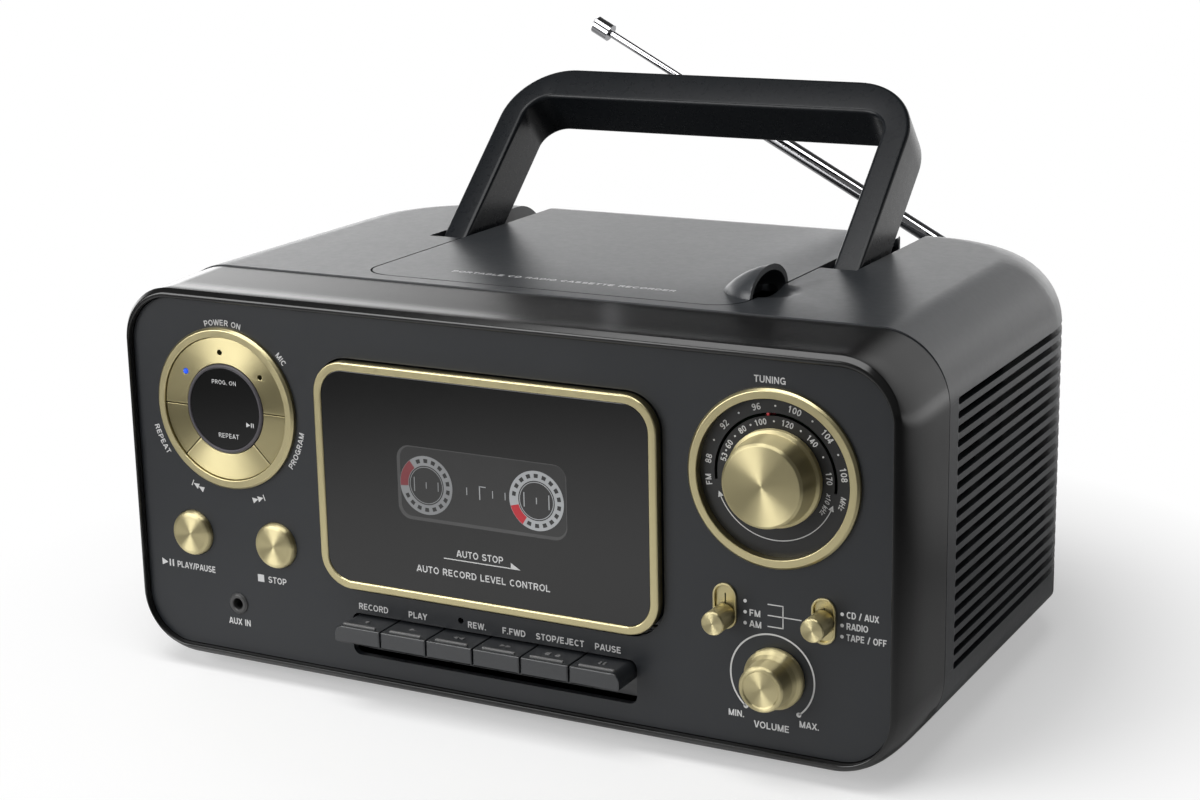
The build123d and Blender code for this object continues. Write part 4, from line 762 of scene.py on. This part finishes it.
# ------------ slide switches
PLATE_Z, PLATE_OFFSET = 55.8, 17.0
PLATE_FACE, FLOOR_FACE, PLATE_BACK = -0.8, 0.2, 0.6
PILL = rectangle(-4.1, 4.1, -7.7, 7.7, 4.09, 5.0)
WELL = rectangle(-3.3, 3.3, -6.9, 6.9, 3.29, 5.0)
STEM_SLOT = rectangle(-0.22, 0.22, -4.3, 4.3, 0.21, 30.0)
SLIDER = [
    (0, -10.0), (3.55, -10.0, 0.15), (3.93, -9.6, 0.3), (3.93, -0.9), (0.15, -0.9), (0.15, 0.7), (1.1, 0.7),
    (1.1, 9.9), (0, 9.9),
]
for name, side, z, body, node in (
    ("function_cap", -1, 52.84, "function", "function_slider"),
    ("band_cap", 1, PLATE_Z, "band", "band_slider"),
):
    x = DIAL_X + side * PLATE_OFFSET
    rim = slab(f"{node}_rim", [PILL, WELL], PLATE_FACE, PLATE_BACK, "gold_side", "cabinet", (x, PLATE_Z))
    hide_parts("slider_plates")
    floor = slab(
        f"{node}_floor", [WELL, STEM_SLOT], FLOOR_FACE, PLATE_BACK, "gold_side", "cabinet", (x, PLATE_Z), 0.0
    )
    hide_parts("slider_plates")
    cap = turned(name, SLIDER, "gold_spun", body, (x, z), 64)
    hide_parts(node)

# ------------ cassette door
DOOR_SIDE, DOOR_LOW, DOOR_TOP, DOOR_CORNER = 65.7, 41.4, 122.7, 12.2
FRAME_WIDTH, FRAME_FACE, DOOR_FACE, GLASS_GAP = 3.1, -3.3, -2.9, 0.02


def door_outline(inset):
    side, corner = DOOR_SIDE - inset, DOOR_CORNER - inset
    return rectangle(-side, side, DOOR_LOW + inset, DOOR_TOP - inset, corner, 4.0)


frame_loops = [door_outline(0.0), door_outline(FRAME_WIDTH)]
trim = slab("door_frame", frame_loops, FRAME_FACE, 0.0, "gold", "door", bevel=0.6)
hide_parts("door_trim")
glass = slab(
    "door_window", [door_outline(FRAME_WIDTH + GLASS_GAP)], DOOR_FACE, 0.0, "lens", "door", bevel=0.15
)
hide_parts("door_lens")

# ------------ print on the door
PICTURE = rectangle(-32.7, 32.7, 70.3, 96.3, 5.0)
REEL_X, REEL_Z, GAUGE_LINE = 21.3, 83.0, 0.3
picture = Ink(DOOR_FACE, 0.02)
picture.shape(PICTURE)
picture.done("cassette_picture", "window", "door")
edge = Ink(DOOR_FACE, 0.04)
edge.shape(PICTURE, rectangle(-31.4, 32.4, 71.5, 96.0, 4.2))
edge.done("cassette_picture_edge", "window_edge", "door")
# Each reel: the angles that its coloured mark covers, half the height of its right-hand line, and its inks;
# the left reel and its mark take darker copies of the right reel's inks, which paint shade on the left of the
# window.
for name, side, low, high, last, reel_ink, mark_ink in (
    ("left", -1, 128, 186, 1.6, "reel_painted_shade", "red_painted_shade"),
    ("right", 1, 196, 238, 2.5, "reel_light", "red"),
):
    x = side * REEL_X
    reel = Ink(DOOR_FACE, 0.05)
    teeth = [a for a in range(10, 370, 20) if not low - 8 < a < high + 8]
    holes = [moved(band(7.9, 9.3, a - 5.2, a + 5.2), x, REEL_Z) for a in teeth]
    reel.shape(circle(10.3, 96, x, REEL_Z), circle(6.9, 64, x, REEL_Z), *holes)
    reel.shape(circle(6.5, 64, x, REEL_Z), circle(6.25, 64, x, REEL_Z))
    for dx, half in ((-4.7, 2.5), (0.0, 1.1), (4.7, last)):
        reel.line(x + dx, REEL_Z - half, x + dx, REEL_Z + half, 0.35)
    reel.done(f"reel_{name}", reel_ink, "door")
    mark = Ink(DOOR_FACE, 0.08)
    mark.shape(moved(band(7.1, 10.2, low, high), x, REEL_Z))
    mark.done(f"reel_mark_{name}", mark_ink, "door")
gauge = Ink(DOOR_FACE, 0.05)
for x in (-5.4, 4.6, 9.4):
    gauge.line(x, REEL_Z - 1.3, x, REEL_Z + 1.3, GAUGE_LINE)
gauge.line(-0.4, REEL_Z - 2.4, -0.4, REEL_Z + 2.4, 0.4)
gauge.line(-0.4, 85.2, 2.0, 85.2, GAUGE_LINE)
gauge.done("tape_gauge", "reel_light", "door")
ink = Ink(DOOR_FACE)
ink.words("AUTO STOP", -1.2, 60.5, 2.4, wide=1.22)
ink.words("AUTO RECORD LEVEL CONTROL", -0.4, 53.1, 2.4, wide=1.27)
ink.line(-15.4, 58.1, 10.9, 58.1, 0.36)
ink.shape([(14.5, 57.92), (10.8, 57.92), (10.8, 60.1)])
ink.done("door_words", "print", "door")

# ------------ print on the panel
ink = Ink(0.0)
ink.words("TUNING", 103.6, 131.8, 2.25, wide=1.22)
ink.round_words("POWER ON", *LEFT, 30.9, 0.0)
ink.round_words("MIC", *LEFT, 31.6, 50.5)
ink.round_words("REPEAT", *LEFT, 33.2, 244.0, under=True)
ink.round_words("PROGRAM", *LEFT, 32.0, 113.0, under=True)


def skip_mark(clock, way):
    """Two triangles and a bar under the ring, pointing left or right along it."""
    x, z = polar(*LEFT, 34.0, clock)
    turn = radians(180 - clock)

    def place(u, v):
        u *= way
        return (x + u * cos(turn) - v * sin(turn), z + u * sin(turn) + v * cos(turn))

    for middle in (-0.9, 1.5):
        ink.shape([place(middle - 1.2, -1.1), place(middle + 1.2, 0.0), place(middle - 1.2, 1.1)])
    ink.shape([place(2.9, -1.15), place(3.25, -1.15), place(3.25, 1.15), place(2.9, 1.15)])


skip_mark(205.3, -1)
skip_mark(161.3, 1)
ink.arrow(-137.6, 38.8, 2.6, 90)
ink.box(-135.4, -134.8, 37.5, 40.1)
ink.box(-134.0, -133.4, 37.5, 40.1)
ink.words("PLAY/PAUSE", -131.8, 38.7, 2.35, align="LEFT", wide=1.08)
ink.box(-95.9, -93.2, 37.2, 39.9)
ink.words("STOP", -91.4, 38.5, 2.35, align="LEFT", wide=1.2)
ink.words("AUX IN", -105.1, 20.4, 2.4, wide=1.12)
for text, x in (
    ("RECORD", -46.9), ("PLAY", -28.7), ("REW.", -5.0), ("F.FWD", 9.5), ("STOP/EJECT", 27.2), ("PAUSE", 45.3),
):
    ink.words(text, x, 34.4, 2.25, bold=0.18, wide=1.23)
# The left slider's three places and its bracket, then the right slider's.
FORK, FORK_LINE = 108.1, 0.35
for z, text, end in ((58.5, "", FORK), (54.8, "FM", 114.4), (51.1, "AM", FORK)):
    ink.dot(95.0, z, 0.6)
    ink.words(text, 96.5, z, 2.2, align="LEFT", wide=1.22)
    ink.line(102.8, z, end, z, FORK_LINE)
ink.line(FORK, 50.93, FORK, 58.67, FORK_LINE)
for z, text in ((59.0, "CD / AUX"), (55.3, "RADIO"), (51.6, "TAPE / OFF")):
    ink.dot(128.1, z, 0.6)
    ink.words(text, 129.6, z, 2.2, align="LEFT", wide=1.0)
SCALE_AT, SCALE_START, SCALE_END = (104.4, 34.0), -50.5, 230.5
ink.shape(moved(band(14.25, 14.8, SCALE_START, SCALE_END), *SCALE_AT))
for a in (SCALE_START, SCALE_END):
    ink.dot(*polar(*SCALE_AT, 14.5, 90 - a), 0.85)
ink.words("MIN.", 91.8, 19.8, 2.2, wide=1.2)
ink.words("VOLUME", 104.2, 17.2, 2.3, wide=1.22)
ink.words("MAX.", 117.2, 19.8, 2.2, wide=1.2)
ink.done("panel_words", "print", "cabinet")

# ------------ print on the dial and the display
FM_REACH, FM_START, FM_STEP, AM_REACH, DOT = 23.2, -81, 32.4, 18.2, 0.33
ink = Ink(DIAL_FACE)
for k, text in enumerate(("88", "92", "96", "100", "104", "108")):
    ink.round_words(text, *RIGHT, FM_REACH, FM_START + FM_STEP * k, 2.15, 1.15, 0.16)
for k in range(5):
    ink.dot(*polar(*RIGHT, FM_REACH, FM_START + FM_STEP * (k + 0.5)), DOT, 16)
AM_CLOCKS = {"53": -75, "60": -60, "80": -38, "100": -16, "120": 13, "140": 43, "170": 84}
for text, clock in AM_CLOCKS.items():
    ink.round_words(text, *RIGHT, AM_REACH, clock, 2.0, 1.1, 0.16)
for clock in (-67.5, -49, -27.5, -1.5, 28, 62):
    ink.dot(*polar(*RIGHT, AM_REACH, clock), DOT, 16)
ink.round_words("FM", *RIGHT, FM_REACH, -98, 2.05, 1.2, 0.16)
ink.round_words("MHz", *RIGHT, FM_REACH, 104, 1.8, 1.15, 0.14, slant=0.2)
ink.round_words("x10 kHz", *RIGHT, 18.4, 111, 1.7, 1.05, 0.14, slant=0.2)
ink.shape(moved(band(20.35, 20.65, 202, 338), *RIGHT))
for way in (-1, 1):
    ink.arrow(*polar(*RIGHT, 20.5, way * 112), 1.9, way * 22)
ink.done("dial_words", "print", "cabinet")
tip_loop = rectangle(-0.42, 0.42, 19.93, 20.87)
tip = slab("needle_tip", [tip_loop], DIAL_FACE + 0.05, 3.1, "red", "tuner", RIGHT, 0.05)
tip.rotation_euler = (0, radians(-7.0), 0)

ink = Ink(DISPLAY_FACE)
ink.words("PROG. ON", LEFT[0] + 0.2, DIAL_Z + 9.7, 1.55, bold=0.14, wide=1.3)
ink.words("REPEAT", LEFT[0] + 1.0, DIAL_Z - 9.7, 1.7, bold=0.14, wide=1.25)
ink.arrow(LEFT[0] + 9.6, DIAL_Z - 4.8, 1.7, 90)
for x in (10.9, 11.7):
    ink.box(LEFT[0] + x, LEFT[0] + x + 0.4, DIAL_Z - 5.6, DIAL_Z - 4.0)
ink.done("display_words", "print", "cabinet")

# ------------ cloth behind the corner slots
CLOTH_OUT, CLOTH_THICK = 147.0, 0.6
CLOTH_FRONT, CLOTH_LOW, CLOTH_HIGH = 96.0, 26.0, 121.0
BEND_X, BEND_Y, BEND_END = 89.5, 142.0, 68
for side, name in ((-1, "left"), (1, "right")):
    faces = []
    for x in (CLOTH_OUT, CLOTH_OUT - CLOTH_THICK):
        faces.append([(x, CLOTH_FRONT), *arc(x - BEND_X, 0, BEND_END, 24, BEND_X, BEND_Y)])
    loop = [(side * x, y) for x, y in faces[0] + faces[1][::-1]]
    bm = bmesh.new()
    add_slab(bm, [loop], CLOTH_LOW, CLOTH_HIGH, facing=UP)
    finish_mesh(f"grille_cloth_{name}", bm, MATS["dark"], "cabinet", weighted=False)


# ------------ piano keys with their ribs and raised marks, the marks in pale grey as a painted highlight
def triangle(x, size, way):
    return [(x - way * size / 2, -size / 2), (x + way * size / 2, 0.0), (x - way * size / 2, size / 2)]


KEYS = (
    ("record", [circle(0.8, 20)]),
    ("play", [triangle(0, 1.9, 1)]),
    ("rewind", [triangle(-1.1, 1.8, -1), triangle(1.1, 1.8, -1)]),
    ("forward", [triangle(-1.1, 1.8, 1), triangle(1.1, 1.8, 1)]),
    ("stop", [
        rectangle(-3.0, -1.2, -0.9, 0.9), [(1.0, -0.3), (2.8, -0.3), (1.9, 0.9)],
        rectangle(1.0, 2.8, -0.9, -0.5),
    ]),
    ("pause", [rectangle(-1.2, -0.4, -0.9, 0.9), rectangle(0.4, 1.2, -0.9, 0.9)]),
)
KEY_PITCH, KEY_WIDTH, KEY_TOP, KEY_LOW, KEY_FRONT = 18.4, 17.8, 31.0, 25.0, -12.0
KEY_BACK, KEY_CORNER, KEY_OUTER_CORNER, KEY_OUTER_EXTRA = 2.9, 0.3, 3.0, 0.5
MARK_Y, RIB_FRONT, RIB_BACK, RIB_INSET = -5.2, -10.5, -9.5, 2.6
# Behind the cap: how low, how high, and from where to where its neck, its arm and its skirt reach.
KEY_REAR = ((KEY_LOW, 27.4, 2.8, 4.3), (21.0, 27.4, 4.2, 22.0), (17.5, 21.1, 4.2, 6.2))
for n, (name, marks) in enumerate(KEYS):
    first, last = n == 0, n == len(KEYS) - 1
    x = (n - (len(KEYS) - 1) / 2) * KEY_PITCH
    x0 = x - KEY_WIDTH / 2 - (KEY_OUTER_EXTRA if first else 0.0)
    x1 = x + KEY_WIDTH / 2 + (KEY_OUTER_EXTRA if last else 0.0)
    r0 = KEY_OUTER_CORNER if first else KEY_CORNER
    r1 = KEY_OUTER_CORNER if last else KEY_CORNER
    face = [(x0, KEY_LOW, r0 / 3), (x1, KEY_LOW, r1 / 3), (x1, KEY_TOP, r1), (x0, KEY_TOP, r0)]
    bm = bmesh.new()
    add_slab(bm, [rounded(face, 6.0)], KEY_FRONT, KEY_BACK, 0.4)
    for low, high, y0, y1 in KEY_REAR:
        add_slab(bm, [rectangle(x0, x1, low, high)], y0, y1)
    cap = finish_mesh(f"{name}_cap", bm, MATS["key"], f"key_{name}")
    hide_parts(KEY_NODES[n])
    bm = bmesh.new()
    # the raised marks and a bar on the rib take a pale grey, a painted highlight where they catch the light
    for loop in marks:
        add_slab(bm, [loop], 0.28, -0.15, 0.06, UP, (x, MARK_Y, KEY_TOP))
    rib = rectangle(x0 + RIB_INSET, x1 - RIB_INSET, RIB_FRONT, RIB_BACK, 0.3)
    add_slab(bm, [rib], 0.6, -0.2, 0.2, UP, (0, 0, KEY_TOP))
    finish_mesh(f"{name}_mark", bm, MATS["key_mark"], f"key_{name}")

# ------------ words on the lid
ink = Ink(TOP, facing=UP)
ink.words("PORTABLE CD RADIO CASSETTE RECORDER", 0.5, 55.0, 2.3, bold=0.2, wide=1.63)
ink.done("lid_words", "lid_print", "lid")

# ------------ finish of the CAD nodes that show
SOFT = {
    "front_panel": 0.2, "rear_cabinet": 0.2, "cd_lid": 0.3, "battery_door": 0.3, "feet": 0.2, "ac_inlet": 0.2,
}
WELD = 2e-6  # metres
BEVEL_FROM, SPLIT_FROM = radians(40), radians(32)


def soften(name, obj):
    """Rounded edges on the nodes in SOFT, and clean sharp edges on the others."""
    for face in obj.data.polygons:
        face.use_smooth = True
    weld = obj.modifiers.new("weld", "WELD")
    weld.merge_threshold = WELD
    if name in SOFT:
        bevel = obj.modifiers.new("bevel", "BEVEL")
        bevel.width = SOFT[name] / MM
        bevel.segments = 2
        bevel.limit_method = "ANGLE"
        bevel.angle_limit = BEVEL_FROM
        bevel.use_clamp_overlap = True
        normal = obj.modifiers.new("normal", "WEIGHTED_NORMAL")
        normal.keep_sharp = False
    else:
        split = obj.modifiers.new("split", "EDGE_SPLIT")
        split.split_angle = SPLIT_FROM


for name, obj in NODES.items():
    soften(name, obj)


# ------------ light, floor and world, in metres
FLOOR_HALF = 5.0
PALEST_AT = (-0.03, -0.15, 0.0)  # where the floor is palest, to all but the camera
LEFT_GLOW = (-0.85, 0.50, 0.165)  # the way to it
PLAIN_WHITE = (1.0, 1.0, 1.0, 1.0)


def area_light(name, where, aim, width, height, watts):
    data = bpy.data.lights.new(name, "AREA")
    data.shape = "RECTANGLE"
    data.size = width
    data.size_y = height
    data.energy = watts
    light = bpy.data.objects.new(name, data)
    light.location = where
    light.rotation_euler = (Vector(aim) - Vector(where)).to_track_quat("-Z", "Y").to_euler()
    bpy.context.scene.collection.objects.link(light)


def make_world():
    """A glow on the left, a bright low band behind, a weaker one on the right; white to the camera."""
    world = bpy.data.worlds.new("studio")
    bpy.context.scene.world = world
    world.use_nodes = True
    tree = world.node_tree
    back = tree.nodes["Background"]

    def node(kind, **values):
        made = tree.nodes.new(kind)
        for key, value in values.items():
            if isinstance(value, str):
                setattr(made, key, value)
            else:
                made.inputs[key.replace("_", " ")].default_value = value
        return made

    def span(source, low, high, to_low, to_high):
        """The source from low to high, eased into another range."""
        made = node("ShaderNodeMapRange", From_Min=low, From_Max=high, To_Min=to_low, To_Max=to_high)
        made.interpolation_type = "SMOOTHSTEP"
        tree.links.new(source, made.inputs["Value"])
        return made.outputs["Result"]

    def maths(operation, a, b):
        made = node("ShaderNodeMath", operation=operation)
        tree.links.new(a, made.inputs[0])
        tree.links.new(b, made.inputs[1])
        return made.outputs["Value"]

    way = node("ShaderNodeTexCoord").outputs["Generated"]
    split = node("ShaderNodeSeparateXYZ")
    tree.links.new(way, split.inputs["Vector"])
    x, y, z = (split.outputs[axis] for axis in "XYZ")
    toward = node("ShaderNodeVectorMath", operation="DOT_PRODUCT")
    tree.links.new(way, toward.inputs[0])
    toward.inputs[1].default_value = LEFT_GLOW
    left = span(toward.outputs["Value"], 0.84, 0.97, 0.0, 0.9)
    behind = maths("MULTIPLY", span(y, -0.25, 0.55, 0.0, 2.1), span(x, 0.1, 0.5, 1.0, 0.2))
    behind = maths("MULTIPLY", behind, span(z, 0.20, 0.285, 1.0, 0.01))
    right = maths("MULTIPLY", span(x, -0.3, 0.05, 0.0, 0.7), span(y, 0.25, 0.65, 0.0, 1.0))
    right = maths("MULTIPLY", right, span(z, 0.45, 0.7, 1.0, 0.0))
    rest = span(y, -0.35, 0.1, 0.12, 0.03)
    level = maths("ADD", maths("ADD", left, maths("MAXIMUM", behind, right)), rest)
    path = node("ShaderNodeLightPath")
    mix = node("ShaderNodeMix", data_type="FLOAT")
    seen = maths("MAXIMUM", path.outputs["Is Camera Ray"], path.outputs["Is Transmission Ray"])
    tree.links.new(seen, mix.inputs[0])
    tree.links.new(level, mix.inputs[2])
    mix.inputs[3].default_value = 1.0
    tree.links.new(mix.outputs[0], back.inputs["Strength"])
    back.inputs["Color"].default_value = PLAIN_WHITE


def floor_paper():
    """A grey that darkens outwards, which the camera sees turn white away from the part."""
    m = Nodes("floor_paper", Roughness=0.9, Specular_IOR_Level=0.0, Emission_Color=PLAIN_WHITE)
    path = m.add("ShaderNodeLightPath")
    spot = m.add("ShaderNodeSeparateXYZ")
    m.link(m.place(), "Object", spot, 0)
    far = m.add("ShaderNodeVectorMath", operation="LENGTH")
    m.link(m.place(), "Object", far, 0)

    # What the part's plastics and metal see in the floor.
    away = m.add("ShaderNodeVectorMath", operation="DISTANCE")
    m.link(m.place(), "Object", away, 0)
    away.inputs[1].default_value = PALEST_AT
    tone = m.ramp(away, "Value", 0.92, 0.12, 0.08, 0.50)
    tone.color_ramp.interpolation = "EASE"
    rear = m.ramp(spot, "Y", 0.0, 0.6, 0.0, 0.2)
    floor_tone = m.add("ShaderNodeMix", data_type="RGBA", blend_type="LIGHTEN")
    floor_tone.inputs[0].default_value = 1.0
    m.link(tone, "Color", floor_tone, 6)
    m.link(rear, "Color", floor_tone, 7)

    # What the camera sees: less of the floor's own tone and more plain white, further from the part.
    shade = m.ramp(far, "Value", 0.62, 0.0, 0.17, 0.28)
    white = m.ramp(far, "Value", 0.40, 1.0, 0.17, 0.28)
    colour = m.add("ShaderNodeMix", data_type="RGBA")
    m.link(path, "Is Camera Ray", colour, 0)
    m.link(floor_tone, 2, colour, 6)
    m.link(shade, "Color", colour, 7)
    m.link(colour, 2, m.shader, "Base Color")
    seen = m.joined("MULTIPLY", path, "Is Camera Ray", white, "Color")

    # What a mirror sees: the white backdrop, behind the part.
    distant = m.ramp(far, "Value", 0.0, 1.0, 0.45, 0.95)
    behind = m.ramp(spot, "Y", 0.0, 1.0, 0.05, 0.35)
    backdrop = m.joined("MULTIPLY", distant, "Color", behind, "Color")
    mirrored = m.joined("MULTIPLY", path, "Is Glossy Ray", backdrop, "Value")
    either = m.joined("MAXIMUM", seen, "Value", mirrored, "Value")
    m.link(either, "Value", m.shader, "Emission Strength")
    return m.material


def make_floor():
    sheet = bpy.data.meshes.new("floor")
    corners = [(x * FLOOR_HALF, y * FLOOR_HALF, 0) for x, y in ((-1, -1), (1, -1), (1, 1), (-1, 1))]
    sheet.from_pydata(corners, [], [(0, 1, 2, 3)])
    sheet.materials.append(floor_paper())
    floor = bpy.data.objects.new("floor", sheet)
    bpy.context.scene.collection.objects.link(floor)


make_world()
area_light("top_light", (-0.05, -0.45, 1.25), (0.0, -0.05, 0.1), 1.1, 0.7, 10.0)
area_light("left_light", (-0.74, -1.04, 0.48), (0.0, -0.1, 0.08), 0.8, 0.8, 11.0)
bpy.context.scene.view_settings.view_transform = "Standard"
make_floor()
